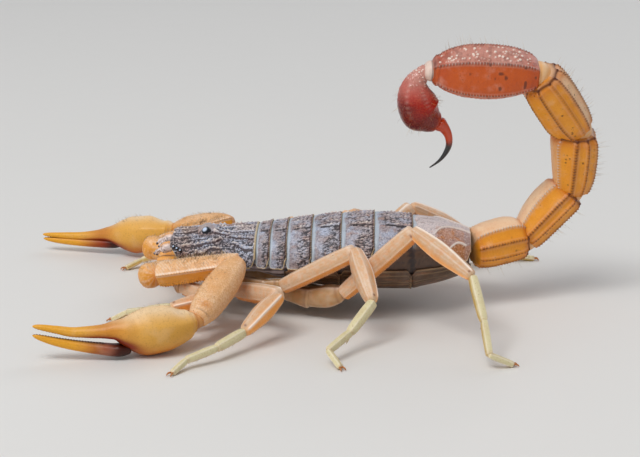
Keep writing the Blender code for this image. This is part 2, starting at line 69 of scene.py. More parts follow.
# Back shield and trunk: place along X, height of the side edge, half width, top and underside.
SHIELD = [
    (-7.85, 5.18, 2.45, 6.26, 4.10),
    (-7.62, 5.12, 2.62, 6.36, 4.00),
    (-6.80, 4.98, 2.96, 6.42, 3.80),
    (-5.60, 4.86, 3.32, 6.48, 3.60),
    (-4.20, 4.76, 3.62, 6.58, 3.50),
    (-2.70, 4.68, 3.90, 6.60, 3.50),
    (-1.20, 4.66, 4.10, 6.68, 3.50),
    (-0.45, 4.66, 4.16, 6.75, 3.50),
]
TRUNK = [
    (-0.80, 4.70, 4.02, 6.76, 3.40),
    (0.62, 4.72, 4.12, 6.94, 3.00),
    (2.06, 4.74, 4.24, 7.14, 2.70),
    (4.15, 4.76, 4.34, 7.43, 2.35),
    (6.64, 4.78, 4.38, 7.72, 2.08),
    (9.44, 4.78, 4.36, 7.88, 1.92),
    (12.71, 4.80, 4.14, 7.66, 1.88),
    (13.60, 4.84, 4.02, 7.56, 2.10),
    (15.20, 4.88, 3.62, 7.38, 2.45),
    (16.90, 4.92, 2.75, 6.90, 2.95),
    (17.78, 4.95, 2.12, 6.58, 3.25),
]
RING_EDGES = (-0.5, 0.62, 2.06, 4.15, 6.64, 9.44, 12.71, 17.74)

# Tail: length, yaw and pitch of each segment, then its rows: share of length, half width, back, keel side.
TAIL_ROOT = (17.95, 0.0, 4.95)
TAIL = [(4.85, 159, 7), (5.7, 168, 45), (5.8, 80, 103), (6.85, 146, 130), (8.9, 174, 177)]
TAIL_SHAPES = [
    [(0.0, 1.5, 1.5, 1.45), (0.1, 1.75, 1.92, 1.68), (0.35, 1.95, 2.22, 1.82), (0.65, 2.0, 2.32, 1.78),
     (0.84, 2.0, 2.16, 1.7), (1.0, 1.65, 1.6, 1.42)],
    [(0.0, 1.55, 1.32, 1.35), (0.13, 1.8, 1.6, 1.48), (0.35, 1.95, 2.08, 1.52), (0.65, 2.0, 2.34, 1.56),
     (0.88, 2.0, 2.24, 1.58), (1.0, 1.65, 1.65, 1.36)],
    [(0.0, 1.55, 1.3, 1.5), (0.12, 1.8, 1.58, 1.82), (0.35, 1.95, 1.85, 2.08), (0.62, 2.0, 2.1, 2.12),
     (0.86, 2.0, 2.3, 1.98), (1.0, 1.65, 1.7, 1.55)],
    [(0.0, 1.55, 1.35, 1.45), (0.1, 1.75, 1.72, 1.72), (0.35, 1.9, 2.15, 2.0), (0.65, 1.95, 2.1, 2.08),
     (0.88, 1.9, 1.95, 1.92), (1.0, 1.55, 1.35, 1.45)],
    [(0.0, 1.5, 1.1, 1.25), (0.1, 1.78, 1.55, 1.85), (0.28, 2.02, 2.12, 2.3), (0.48, 2.1, 2.36, 2.42),
     (0.65, 2.05, 2.28, 2.35), (0.82, 1.82, 1.9, 1.98), (0.94, 1.42, 1.35, 1.42), (1.0, 1.15, 1.0, 1.1)],
]
# Venom bulb and sting: middle line and radius.
VESICLE = [
    (14.02, -2.1, 20.9, 0.64), (13.42, -2.08, 20.72, 0.62), (12.98, -2.05, 20.18, 0.88),
    (12.8, -2.02, 19.38, 1.3), (12.94, -1.98, 18.42, 1.62), (13.36, -1.88, 17.45, 1.74),
    (14.12, -1.74, 16.78, 1.18), (14.88, -1.6, 16.38, 0.66),
]
STING = [
    (14.88, -1.6, 16.38, 0.64), (15.3, -1.54, 15.98, 0.46), (15.66, -1.46, 15.3, 0.34),
    (15.72, -1.36, 14.5, 0.27), (15.42, -1.24, 13.72, 0.2), (14.9, -1.16, 13.05, 0.12),
    (14.12, -1.1, 12.45, 0.05),
]

# Legs from front to back: lengths of trochanter, femur, patella, tibia and both foot segments.
LEG_LENGTHS = {
    1: (1.0, 4.3, 4.2, 2.8, 2.4, 1.7),
    2: (1.4, 6.0, 4.8, 3.2, 2.8, 1.8),
    3: (1.4, 7.3, 5.4, 3.5, 3.0, 1.9),
    4: (2.8, 8.2, 6.9, 4.0, 3.5, 2.2),
}
# Inner and outer end of each hip.
COXAE = {
    1: ((-6.5, 0.95, 2.65), (-7.2, 3.15, 2.6)),
    2: ((-4.8, 0.95, 2.55), (-3.0, 3.6, 2.6)),
    3: ((-3.3, 0.95, 2.45), (0.6, 3.8, 2.6)),
    4: ((-2.0, 1.05, 2.15), (4.4, 4.1, 1.75)),
}
# Yaw (0 forward, 90 straight out, 180 backward) and pitch, from the trochanter on.
LEG_POSE = {
    ("left", 1): [(127, 0), (134, -1), (31, 0), (-36, -17), (-42, -16), (-17, 0)],
    ("left", 2): [(141, -3), (129, 10), (52, -24), (51, -8), (36, -9), (56, 0)],
    ("left", 3): [(156, 12), (164, 30), (110, -34), (52, -31), (56, -12), (126, 0)],
    ("left", 4): [(160, 16), (172, 44), (137, -21), (107, -45), (96, -30), (197, 0)],
    ("right", 1): [(121, 0), (137, 2), (36, -7), (7, -16), (-5, -18), (-31, 0)],
    ("right", 2): [(113, -10), (149, 25), (80, -26), (60, -25), (50, -16), (60, 0)],
    ("right", 3): [(157, -10), (148, 27), (124, -30), (100, -20), (90, -18), (110, 0)],
    ("right", 4): [(161, -9), (161, 41), (160, -30), (97, -41), (172, -2), (176, 0)],
}
FOOT_HEIGHT = 0.2
COXA_GIRTH = {1: 0.62, 2: 0.64, 3: 0.64, 4: 0.94}
# Half width and half height of the femur, patella, tibia, basitarsus and telotarsus.
LEG_GIRTH = {
    1: ((0.58, 0.72), (0.58, 0.7), (0.4, 0.44), (0.31, 0.34), (0.25, 0.26)),
    2: ((0.66, 0.84), (0.66, 0.84), (0.42, 0.46), (0.32, 0.36), (0.26, 0.27)),
    3: ((0.68, 0.78), (0.74, 0.92), (0.45, 0.48), (0.33, 0.37), (0.26, 0.28)),
    4: ((0.7, 0.82), (0.7, 0.82), (0.42, 0.46), (0.33, 0.37), (0.27, 0.28)),
}
# Shape of a leg's femur and patella: share of length, then shares of half width and half height.
FEMUR_SWELL = [(0.0, 0.95, 0.8), (0.25, 1.0, 0.95), (0.6, 1.0, 1.0), (0.88, 0.96, 0.96), (1.0, 0.88, 0.84)]
KNEE_SWELL = [(0.0, 0.7, 0.66), (0.14, 0.88, 0.88), (0.45, 1.08, 1.08), (0.8, 0.9, 0.8), (1.0, 0.64, 0.54)]

# A foot claw from the toe's tip: ahead, outward, up, and radius.
HOOK = [
    (-0.1, 0.05, 0.0, 0.08), (0.18, 0.14, 0.06, 0.07), (0.36, 0.2, -0.02, 0.05), (0.44, 0.22, -0.14, 0.018),
]

# Claw arms: knuckle, start of the femur, then length, yaw and pitch of femur, patella, hand and fingers.
ARM_ROOT = (-7.9, 2.2, 3.7)
MOUTH_LOBE = [(-6.9, 1.2, 3.85), (-7.7, 1.1, 3.95), (-8.5, 0.95, 4.0), (-9.2, 0.85, 3.95)]
KNUCKLES = {"left": (-9.45, 3.45, 3.45), "right": (-9.95, 3.4, 3.78)}
KNUCKLE_SIZE = (1.05, 1.12)
ARM_START = {"left": (-8.8, 4.4, 3.85), "right": (-9.8, 4.3, 3.6)}
CLAW_SPREAD = {"left": 1.0, "right": 0.52}
ARM_LENGTHS = (7.3, 7.3, 6.3, 7.1)
ARM_POSE = {
    "left": [(169, 12), (63, -25), (26, -4), (6, 6)],
    "right": [(151, 10), (40, -16), (13, -11), (8, -2)],
}
ARM_GIRTH = {"left": 1.0, "right": 0.88}
# Shape of an arm's femur and patella: share of length, half width and half height.
ARM_SHAPE = [(0.0, 0.88, 0.96), (0.12, 0.98, 1.1), (0.4, 0.95, 1.06), (0.75, 0.9, 0.96), (1.0, 0.76, 0.8)]
PATELLA_SHAPE = [
    (0.0, 0.76, 0.78), (0.2, 1.2, 1.2), (0.45, 1.36, 1.36), (0.75, 1.26, 1.28), (1.0, 0.74, 0.76),
]
# Place along the hand in millimetres, shift upward, half width, half height up and down.
HAND_SHAPE = [
    (0.0, 0.0, 0.76, 0.7, 0.74), (0.7, 0.0, 1.25, 1.02, 1.28), (1.7, 0.02, 1.65, 1.42, 1.74),
    (3.0, 0.05, 1.86, 1.82, 2.02), (4.2, 0.1, 1.74, 1.9, 2.08), (5.2, 0.22, 1.44, 1.62, 1.72),
    (6.1, 0.38, 1.1, 1.22, 1.12), (6.9, 0.43, 0.84, 0.88, 0.68), (8.0, 0.28, 0.62, 0.6, 0.5),
    (9.8, 0.1, 0.46, 0.44, 0.4), (11.6, 0.2, 0.34, 0.32, 0.3), (12.9, 0.32, 0.22, 0.2, 0.2),
    (13.4, 0.34, 0.08, 0.08, 0.08),
]
FINGER_SHAPE = [
    (5.6, -0.98, 0.62, 0.4, 0.5), (6.5, -1.06, 0.7, 0.46, 0.58), (8.2, -1.06, 0.58, 0.44, 0.52),
    (9.8, -1.0, 0.46, 0.42, 0.44), (11.5, -0.8, 0.35, 0.34, 0.36), (12.8, -0.54, 0.22, 0.2, 0.24),
    (13.35, -0.42, 0.08, 0.08, 0.08),
]
# Jaw: middle line, half width and half height.
JAW = [
    (-7.7, 0.92, 5.28, 0.48, 0.34), (-8.02, 0.93, 5.3, 0.55, 0.41), (-8.36, 0.93, 5.24, 0.56, 0.41),
    (-8.66, 0.91, 5.12, 0.46, 0.33), (-8.86, 0.89, 5.0, 0.28, 0.2),
]
JAW_RISE = {"left": -0.06, "right": 0.22}
# Fingers of a jaw: name, root, middle, tip, and radius at the root.
JAW_FINGERS = (
    ("inner", (-8.62, 0.72, 5.06), (-8.98, 0.68, 4.8), (-9.24, 0.76, 4.46), 0.17),
    ("outer", (-8.62, 1.1, 5.12), (-9.08, 1.14, 4.96), (-9.42, 0.98, 4.6), 0.18),
)
# Combs under the belly: middle line, number of teeth, and their spacing as a share of the comb.
COMB = [(3.3, 0.55, 1.98), (4.2, 1.25, 1.9), (5.4, 2.05, 1.86), (6.5, 2.75, 1.96)]
COMB_TEETH = 24
COMB_PITCH = 0.037


# ---------------------------------------------------------------- numbers and places

def frame_offset():
    """From the skeleton's origin to the frame's, found from the left middle eye."""
    low, high = (np.array(corner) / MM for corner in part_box("median_eye_left"))
    return np.array((EYE[0], -EYE[1], EYE[2])) - (low + high) / 2


OFFSET = frame_offset()


def unit(vectors):
    return vectors / np.maximum(np.linalg.norm(vectors, axis=-1, keepdims=True), 1e-9)


def ease(low, high, value):
    """0 below low, 1 above high and smooth between. With low above high it falls instead."""
    t = np.clip((value - low) / (high - low), 0.0, 1.0)
    return t * t * (3 - 2 * t)


def hump(value, middle, width):
    """1 at the middle and falling off to both sides of it."""
    return np.exp(-(((value - middle) / width) ** 2))


def bent(value, power):
    return np.sign(value) * np.abs(value) ** power


def held(value):
    return np.clip(value, 0, 1)


def direction(side, yaw, pitch):
    turn, climb = math.radians(yaw), math.radians(pitch)
    flat = math.cos(climb)
    return np.array((-math.cos(turn) * flat, side * math.sin(turn) * flat, math.sin(climb)))


def mirrored(point, side):
    return np.array((point[0], side * point[1], point[2]), float)


def between(start, stop, share):
    return start + (stop - start) * share


def level_side(ahead):
    """The horizontal direction across a limb that heads ahead."""
    return unit(np.cross(UP, (ahead[0], ahead[1], 0.0)))


def glide(places, marks, values, supple=False):
    """Smooth values between stations: a supple curve swings through them, a stiff one never overshoots."""
    marks, values = np.asarray(marks, float), np.asarray(values, float)
    gaps = np.diff(marks)[:, None]
    slopes = np.diff(values, axis=0) / gaps
    tangents = np.vstack([slopes[:1], (slopes[1:] + slopes[:-1]) / 2, slopes[-1:]])
    if not supple:
        product = slopes[1:] * slopes[:-1]
        total = slopes[1:] + slopes[:-1]
        total = np.where(np.abs(total) < 1e-9, 1.0, total)
        tangents[1:-1] = np.where(product > 0, 2 * product / total, 0.0)
    spot = np.clip(np.searchsorted(marks, places, side="right") - 1, 0, len(marks) - 2)
    gap = gaps[spot]
    t = np.clip((places - marks[spot])[:, None] / gap, 0.0, 1.0)
    first = values[spot] * (1 + 2 * t) * (1 - t) ** 2 + tangents[spot] * gap * t * (1 - t) ** 2
    return first + values[spot + 1] * t * t * (3 - 2 * t) + tangents[spot + 1] * gap * t * t * (t - 1)


def glide_rows(places, rows):
    """Smooth values between rows that each begin with their own place."""
    return glide(places, [row[0] for row in rows], [row[1:] for row in rows])


def chances(cells, seed):
    """Three repeatable numbers from 0 to 1 for each cell of a grid."""
    x, y, z = cells.T
    mixed = (x * 73856093 ^ y * 19349663 ^ z * 83492791 ^ seed * 961748927) & 0xFFFFFFFF
    found = []
    for _ in range(3):
        mixed = ((mixed ^ (mixed >> 15)) * 1274126177) & 0xFFFFFFFF
        mixed ^= mixed >> 13
        found.append(mixed / 2.0**32)
    return np.stack(found, axis=1)


def pebbles(points, size, seed=1, fill=0.62):
    """Rounded granules from 0 to 1 over a surface, one round each of many scattered centres."""
    spots = points / size
    home = np.floor(spots - 0.5).astype(np.int64)
    best = np.full(len(points), 9.0)
    own = np.zeros(len(points))
    for step in np.ndindex(2, 2, 2):
        cell = home + np.array(step)
        chance = chances(cell, seed)
        away = ((cell + 0.1 + chance * 0.8 - spots) ** 2).sum(axis=1)
        closer = away < best
        best = np.where(closer, away, best)
        own = np.where(closer, chance[:, 0], own)
    return ease(fill, fill * 0.25, np.sqrt(best)) * (0.45 + 0.55 * own)


def clouds(points, size, seed=1):
    """Smooth noise from 0 to 1, with cells of that size."""
    spots = points / size
    home = np.floor(spots).astype(np.int64)
    t = spots - home
    t = t * t * (3 - 2 * t)
    total = np.zeros(len(points))
    for step in np.ndindex(2, 2, 2):
        weight = np.where(np.array(step) == 1, t, 1 - t).prod(axis=1)
        total += weight * chances(home + np.array(step), seed)[:, 0]
    return total


def beads(place, pitch, shift=0.0):
    return 0.5 + 0.5 * np.cos(math.tau * (place / pitch + shift))


def facets(turn, corners):
    """For turns round a limb: the nearest keel's number, the angle to it, and 0 at keels to 1 between."""
    edges = np.radians(np.asarray(corners, float))
    after = np.searchsorted(edges, turn) % len(edges)
    low = edges[after - 1]
    width = np.mod(edges[after] - low, math.tau)
    t = np.mod(turn - low, math.tau) / width
    near = np.where(t < 0.5, (after - 1) % len(edges), after)
    return near, np.minimum(t, 1 - t) * width, 4 * t * (1 - t)


def ridge(x, y, line):
    """Distance from points to a broken line."""
    best = np.full(len(x), 99.0)
    for (x0, y0), (x1, y1) in zip(line, line[1:]):
        long = math.hypot(x1 - x0, y1 - y0)
        t = np.clip(((x - x0) * (x1 - x0) + (y - y0) * (y1 - y0)) / long**2, 0.0, 1.0)
        best = np.minimum(best, np.hypot(x - x0 - t * (x1 - x0), y - y0 - t * (y1 - y0)))
    return best


# ---------------------------------------------------------------- surfaces

class Line:
    """A limb's centre line with its girth: half width, half height up and half height down."""

    def __init__(self, stations, girths, sideways, supple=False):
        self.stations = np.array(stations, float)
        self.girths = np.array([(g, g, g) if np.isscalar(g) else g for g in girths], float)
        if self.girths.shape[1] == 2:
            self.girths = self.girths[:, (0, 1, 1)]
        self.marks = np.r_[0.0, np.cumsum(np.linalg.norm(np.diff(self.stations, axis=0), axis=1))]
        self.length = self.marks[-1]
        self.sideways = np.asarray(sideways, float)
        self.supple = supple

    def at(self, place):
        centre = glide(place, self.marks, self.stations, self.supple)
        reach = self.length * 0.01
        before = glide(np.maximum(place - reach, 0.0), self.marks, self.stations, self.supple)
        after = glide(np.minimum(place + reach, self.length), self.marks, self.stations, self.supple)
        ahead = unit(after - before)
        across = unit(self.sideways - ahead * (ahead @ self.sideways)[:, None])
        return centre, across, np.cross(ahead, across), glide(place, self.marks, self.girths)


class Spot:
    """Where each point lies on a limb: its turn, its share of the length and its run from the root."""

    def __init__(self, **facts):
        self.__dict__.update(facts)

    def keel(self, width):
        """1 on a keel, and none beyond about twice that width beside it."""
        return hump(self.away, 0.0, width)

    def facing(self, degrees, width):
        return hump(self.degrees, degrees, width)

    def turned(self, low, high):
        return ease(low, high, self.degrees)

    def along(self, place, width):
        return hump(self.run, place, width)

    def short(self, left, width):
        return self.along(self.length - left, width)

    def past(self, low, high):
        return ease(low, high, self.run)

    def ends(self, first, last):
        """1 along the limb, falling to 0 over those lengths at its root and its end."""
        return self.past(0.0, first) * self.past(self.length, self.length - last)

    def at(self, share, width):
        return hump(self.share, share, width)

    def clouds(self, size, seed):
        return clouds(self.points, size, seed)

    def pebbles(self, size, seed, fill=0.62):
        return pebbles(self.points, size, seed, fill)


# Every skin by name, with what the bristles need to take root in it.
SKINS = {}


def select_only(*pieces):
    bpy.ops.object.select_all(action="DESELECT")
    for piece in pieces:
        piece.select_set(True)
    bpy.context.view_layer.objects.active = pieces[0]


def called(piece, name):
    piece.name = name
    piece.data.name = name
    return piece


def fresh(add, **sizes):
    """A new primitive with nothing else selected, and its corners."""
    bpy.ops.object.select_all(action="DESELECT")
    add(**sizes)
    piece = bpy.context.object
    co = np.zeros(len(piece.data.vertices) * 3, np.float32)
    piece.data.vertices.foreach_get("co", co)
    return piece, co.reshape(-1, 3).astype(float)


def shape_piece(piece, name, points, paint):
    """Puts a primitive's vertices in place, names it and stores its masks as attributes."""
    called(piece, name)
    points = np.maximum(points, (-np.inf, -np.inf, OFFSET[2]))
    piece.data.vertices.foreach_set("co", ((points - OFFSET) * MM).astype(np.float32).ravel())
    for mask, values in paint.items():
        attribute = piece.data.attributes.new(mask, "FLOAT", "POINT")
        attribute.data.foreach_set("value", np.clip(values, -1.0, 1.0).astype(np.float32))
    piece.data.update()
    select_only(piece)
    bpy.ops.object.shade_smooth()
    return piece


def closed_skin(name, around, rings, place):
    """A closed skin from a sphere: place turns shares along and turns round into points and masks."""
    piece, co = fresh(bpy.ops.mesh.primitive_uv_sphere_add, segments=around, ring_count=rings, radius=1.0)
    share = np.arccos(np.clip(-co[:, 2], -1, 1)) / math.pi
    turn = np.mod(np.arctan2(co[:, 1], co[:, 0]), math.tau)
    points, paint = place(share, turn)
    SKINS[name] = Spot(points=points, share=share, turn=turn)
    return shape_piece(piece, name, points, paint)


def open_plate(name, along, across, place, thick):
    """A plate with a real thickness, from a grid. Place gives its outer face."""
    grid = bpy.ops.mesh.primitive_grid_add
    piece, co = fresh(grid, x_subdivisions=along, y_subdivisions=across, size=2.0)
    points, paint = place((co[:, 0] + 1) / 2, co[:, 1])
    shape_piece(piece, name, points, paint)
    wall = piece.modifiers.new("wall", "SOLIDIFY")
    wall.thickness = thick * MM
    wall.offset = -1.0
    bpy.ops.object.modifier_apply(modifier=wall.name)
    return piece


def bone(start, stop, rows, thick=1.0, before=None, after=None, sideways=None):
    """The line between two joints, from rows of share and girths. Before and after reach past a joint."""
    ahead = unit(stop - start)
    stations = [between(start, stop, row[0]) for row in rows]
    girths = [np.multiply(row[1:], thick) for row in rows]
    if before:
        stations.insert(0, start - ahead * before[0])
        girths.insert(0, before[1:])
    if after:
        stations.append(stop + ahead * after[0])
        girths.append(after[1:])
    return Line(stations, girths, level_side(ahead) if sideways is None else sideways)


def limb(name, line, relief, around=96, rings=90, side=1, corners=(60, 120, 240, 300), sag=0.1, power=0.85,
         cap=0.3):
    """A limb piece round a line, with flats between its keels and rounded ends."""
    def own_turn(turn):
        return np.mod(math.pi - turn, math.tau) if side < 0 else turn

    def place(share, turn):
        run = share * line.length
        centre, across, over, girth = line.at(run)
        wide = girth[:, 0]
        high = np.where(np.sin(turn) > 0, girth[:, 1], girth[:, 2])
        local = own_turn(turn)
        near, away, hollow = facets(local, corners)
        inset = np.clip(np.minimum(run, line.length - run) / cap, 0.0, 1.0)
        close = np.sqrt(np.maximum(1 - (1 - inset) ** 2, 0.0))
        flat = across * (wide * bent(np.cos(turn), power))[:, None]
        flat += over * (high * bent(np.sin(turn), power))[:, None]
        base = centre + flat * ((1 - sag * hollow) * close)[:, None]
        out = unit(across * (np.cos(turn) / wide)[:, None] + over * (np.sin(turn) / high)[:, None])
        spot = Spot(run=run, share=share, turn=local, points=base, near=near,
                    away=away * (wide + high) / 2, degrees=np.degrees(local), length=line.length)
        lift, paint = relief(spot)
        return base + out * (lift * close)[:, None], paint

    piece = closed_skin(name, int(around * LIMB_FINENESS), int(rings * LIMB_FINENESS), place)
    skin = SKINS[name]
    skin.local = own_turn(skin.turn)
    skin.ahead = unit(line.stations[-1] - line.stations[0])
    skin.centre = line.at(skin.share * line.length)[0]
    return piece


def joined(name, pieces):
    select_only(*pieces)
    bpy.ops.object.join()
    return called(bpy.context.object, name)


def settle(piece, finish, nodes=()):
    """Gives a finished piece its material, hangs it under the root body and hides the frame nodes that it
    stands for.
    """
    piece.data.materials.clear()
    piece.data.materials.append(finish)
    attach(piece, "root")
    if nodes:
        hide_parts(*nodes)
    return piece


# ---------------------------------------------------------------- materials

class Value:
    """A number in a material that can be added, multiplied and so on like any other."""

    def __init__(self, finish, socket):
        self.finish = finish
        self.socket = socket

    def math(self, operation, *others):
        made = self.finish.node("ShaderNodeMath", dict(enumerate((self, *others))), operation=operation)
        return Value(self.finish, made.outputs[0])

    def __add__(self, other):
        return self.math("ADD", other)

    def __sub__(self, other):
        return self.math("SUBTRACT", other)

    def __mul__(self, other):
        return self.math("MULTIPLY", other)

    def __rsub__(self, other):
        return (self * -1.0).math("ADD", other)

    __radd__ = __add__
    __rmul__ = __mul__

    def step(self, low, high):
        """0 below low and 1 above high."""
        inputs = {"Value": self, "From Min": low, "From Max": high}
        made = self.finish.node("ShaderNodeMapRange", inputs, interpolation_type="SMOOTHSTEP")
        return Value(self.finish, made.outputs["Result"])


class Finish:
    """A material under construction, on one Principled shader."""

    def __init__(self, name, **constants):
        self.material = bpy.data.materials.new(name)
        self.material.use_nodes = True
        self.tree = self.material.node_tree
        self.shader = self.tree.nodes["Principled BSDF"]
        for socket, value in constants.items():
            self.shader.inputs[socket.replace("_", " ")].default_value = value
        self.object_place = self.node("ShaderNodeTexCoord").outputs["Object"]

    def node(self, kind, inputs=None, **settings):
        made = self.tree.nodes.new(kind)
        for setting, value in settings.items():
            setattr(made, setting, value)
        for key, value in (inputs or {}).items():
            source = value.socket if isinstance(value, Value) else value
            if isinstance(source, bpy.types.NodeSocket):
                self.tree.links.new(source, made.inputs[key])
            else:
                made.inputs[key].default_value = source
        return made

    def mask(self, name):
        return Value(self, self.node("ShaderNodeAttribute", attribute_name=name).outputs["Fac"])

    def noise(self, size, detail=3.0, stretch=None):
        """Noise from 0 to 1, with features of that size in millimetres."""
        where = self.object_place
        if stretch:
            where = self.node("ShaderNodeMapping", {"Vector": where, "Scale": stretch}).outputs[0]
        inputs = {"Vector": where, "Scale": 1 / (size * MM), "Detail": detail}
        return Value(self, self.node("ShaderNodeTexNoise", inputs).outputs["Fac"])

    def cells(self, size):
        """Distance to the nearest of scattered spots, which lie about that far apart in millimetres."""
        inputs = {"Vector": self.object_place, "Scale": 1 / (size * MM)}
        return Value(self, self.node("ShaderNodeTexVoronoi", inputs).outputs["Distance"])

    def blend(self, factor, first, second):
        first, second = (c if isinstance(c, bpy.types.NodeSocket) else (*c, 1.0) for c in (first, second))
        return self.node("ShaderNodeMix", {0: factor, 6: first, 7: second}, data_type="RGBA").outputs[2]

    def cover(self, ground, *layers):
        """Colours laid in order over a ground, each with its factor or the name of the mask to use."""
        for factor, colour in layers:
            ground = self.blend(self.mask(factor) if isinstance(factor, str) else factor, ground, colour)
        return ground

    def lay(self, colour, roughness, bump=None, depth=0.02):
        """Joins the colour, and what varies with it, to the shader."""
        inputs = self.shader.inputs
        self.tree.links.new(colour, inputs["Base Color"])
        self.tree.links.new(roughness.socket, inputs["Roughness"])
        if bump is not None:
            made = self.node("ShaderNodeBump", {"Height": bump, "Distance": depth * MM, "Strength": 1.0})
            self.tree.links.new(made.outputs[0], inputs["Normal"])
        return self.material


# ---------------------------------------------------------------- what a user may change

def tint(name, text, *levels):
    """A colour property, from everyday levels of 0 to 255."""
    shares = [level / 255 for level in levels]
    linear = [((s + 0.055) / 1.055) ** 2.4 if s > 0.04 else s / 12.92 for s in shares]
    return bpy.props.FloatVectorProperty(
        name=name, description=text, subtype="COLOR", size=3, min=0.0, max=1.0, default=linear)


def size(name, text, millimetres):
    return bpy.props.FloatProperty(
        name=name, description=text, subtype="DISTANCE", unit="LENGTH", precision=6,
        default=millimetres * MM)


class TrunkLooks(bpy.types.PropertyGroup):
    dark: tint("Plate brown", "Ground colour of the shield and the back plates", 156, 145, 152)
    blue: tint("Plate blue", "Bluish bloom over the plates", 186, 194, 214)
    warm: tint("Plate warm", "Warm brown of the shield's patches and the plates' rear parts", 166, 138, 124)
    lilac: tint("Last plate", "Pale lilac top of the last back plate", 214, 200, 198)
    panel: tint("Side panels", "Orange brown of the last plate's sides and of stray patches", 184, 118, 68)
    # Crests and pits are painted light and shade: pale on ridges, keels and granule tops, dark in hollows,
    # folds, at the foot of ridges and where plates run in under one another. The pit colour also marks the
    # real dark eye rings, side eyes, slits and specks.
    pale: tint("Crests", "Pale crests of ridges and granules", 232, 220, 210)
    pit: tint("Pits", "Dark hollows between granules", 24, 17, 24)
    # The comb colour also stands for painted shadow under the shield's ridges and by the last plate's
    # middle keels.
    band: tint("Fore band", "Smooth band at the front of each back plate", 182, 194, 204)
    rim: tint("Rims", "Thin pale rims of the plates", 222, 198, 150)
    comb: tint("Comb teeth", "Red-brown teeth along the rear of each back plate", 92, 36, 26)
    skin: tint("Side skin", "Soft folded skin between back and belly", 166, 164, 176)
    # Olive brown of the belly, darkened further as painted shade under the body.
    belly: tint("Belly plates", "Olive brown of the belly plates", 80, 52, 24)
    line: tint("Belly lines", "Fine cream edges of the belly plates", 190, 156, 112)
    granule: size("Granule height", "Height of the granules on the back plates", 0.05)
    wall: size("Plate thickness", "Thickness of shield, back and belly plates", 0.07)


class HeadLooks(bpy.types.PropertyGroup):
    eye: tint("Eyes", "Glossy black of every eye", 4, 4, 7)
    jaw: tint("Jaws", "Pale lilac of the jaws", 232, 218, 216)
    mottle: tint("Jaw mottling", "Dark net over the jaws", 58, 44, 48)
    lens: size("Side eye", "Radius of the largest side eye", 0.17)


class ArmLooks(bpy.types.PropertyGroup):
    # The top colours are painted sky light: the reliefs lay them on the faces that look up.
    top: tint("Upper faces", "Pinkish tan of the arms' upper faces", 244, 200, 152)
    side: tint("Side faces", "Orange amber of the arms' side faces", 242, 166, 56)
    dot: tint("Granules", "Dark red-brown granules on the lower keels", 104, 44, 14)
    hand: tint("Hand", "Glossy amber of the swollen hand", 228, 170, 76)
    hand_low: tint("Hand below", "Deeper orange under the hand", 206, 112, 22)
    # Painted sky light on top of the hand.
    hand_top: tint("Hand top", "Pale bloom on top of the hand", 246, 222, 186)
    root: tint("Finger roots", "Red-brown where the fingers begin", 142, 44, 2)
    tip: tint("Finger tips", "Orange yellow of the finger tips", 232, 164, 40)
    tooth: tint("Finger teeth", "Dark rows of teeth between the fingers", 42, 10, 2)
    joint: tint("Joint skin", "Brown skin at the wrist and elbow", 196, 128, 66)


class LegLooks(bpy.types.PropertyGroup):
    # The top colour is painted sky light on the thighs' upper faces.
    top: tint("Upper faces", "Pinkish tan of the thighs' upper faces", 212, 178, 144)
    side: tint("Lower faces", "Orange of the thighs' lower faces", 250, 166, 74)
    dot: tint("Granules", "Brown granules along the lower keels", 118, 46, 16)
    crest: tint("Keel lines", "Pale lines along the keels", 255, 242, 228)
    # The feet's pale colour is painted sky light on their upper faces.
    foot: tint("Feet", "Pale greenish cream of shins and feet", 222, 212, 168)
    foot_low: tint("Feet below", "Yellower underside of shins and feet", 206, 172, 92)
    joint: tint("Joint skin", "Cream skin at the joints", 226, 200, 164)
    hip: tint("Hips", "Olive tan of coxae and trochanters", 164, 124, 68)
    claw: tint("Foot claws", "Orange brown of the small claws", 184, 112, 48)


class TailLooks(bpy.types.PropertyGroup):
    side: tint("Side faces", "Amber orange of the tail", 246, 164, 40)
    # The back colour is painted sky light on the faces that look up.
    back: tint("Back faces", "Pale pinkish tan of the tail's back", 250, 222, 186)
    dot: tint("Keel beads", "Dark brown beads on the keels", 84, 30, 8)
    crest: tint("Keel crests", "Pale serrated keels beside the back", 246, 232, 216)
    end_side: tint("Last segment", "Red orange of the last segment's sides", 206, 88, 2)
    # On the last segment this colour is painted sky light on the face that looks up.
    end_keel: tint("Last segment below", "Pink brown of the last segment's keeled face", 200, 146, 132)
    bulb: tint("Venom bulb", "Glossy dark red of the bulb", 176, 34, 14)
    # Painted shade under the bulb.
    bulb_dark: tint("Bulb shade", "Deep maroon under the bulb", 104, 10, 4)
    root: tint("Sting root", "Orange where the sting begins", 196, 60, 8)
    point: tint("Sting point", "Black of the sting", 12, 8, 8)


class BristleLooks(bpy.types.PropertyGroup):
    pale: tint("Pale bristles", "Golden tan of the fine bristles", 232, 200, 150)
    dark: tint("Dark bristles", "Brown of the stiff tail bristles", 120, 88, 64)
    girth: size("Thickness", "Radius of a bristle at its root", 0.012)


class StageLooks(bpy.types.PropertyGroup):
    floor: tint("Floor", "Pale floor", 226, 224, 220)
    key: bpy.props.FloatProperty(name="Main light", description="Power of the large light", unit="POWER",
                                 default=0.98)
    fill: bpy.props.FloatProperty(name="Fill", description="Strength of the even light from all around",
                                  default=0.42)
    lens: bpy.props.FloatProperty(name="Lens", description="Focal length on a full frame", unit="CAMERA",
                                  default=101.9)


def looks(group):
    return getattr(bpy.context.scene, "scorpion_" + group)


def tints(group, names):
    """Colours of a group of looks, by name."""
    return [getattr(looks(group), name) for name in names.split()]


# ---------------------------------------------------------------- finishes

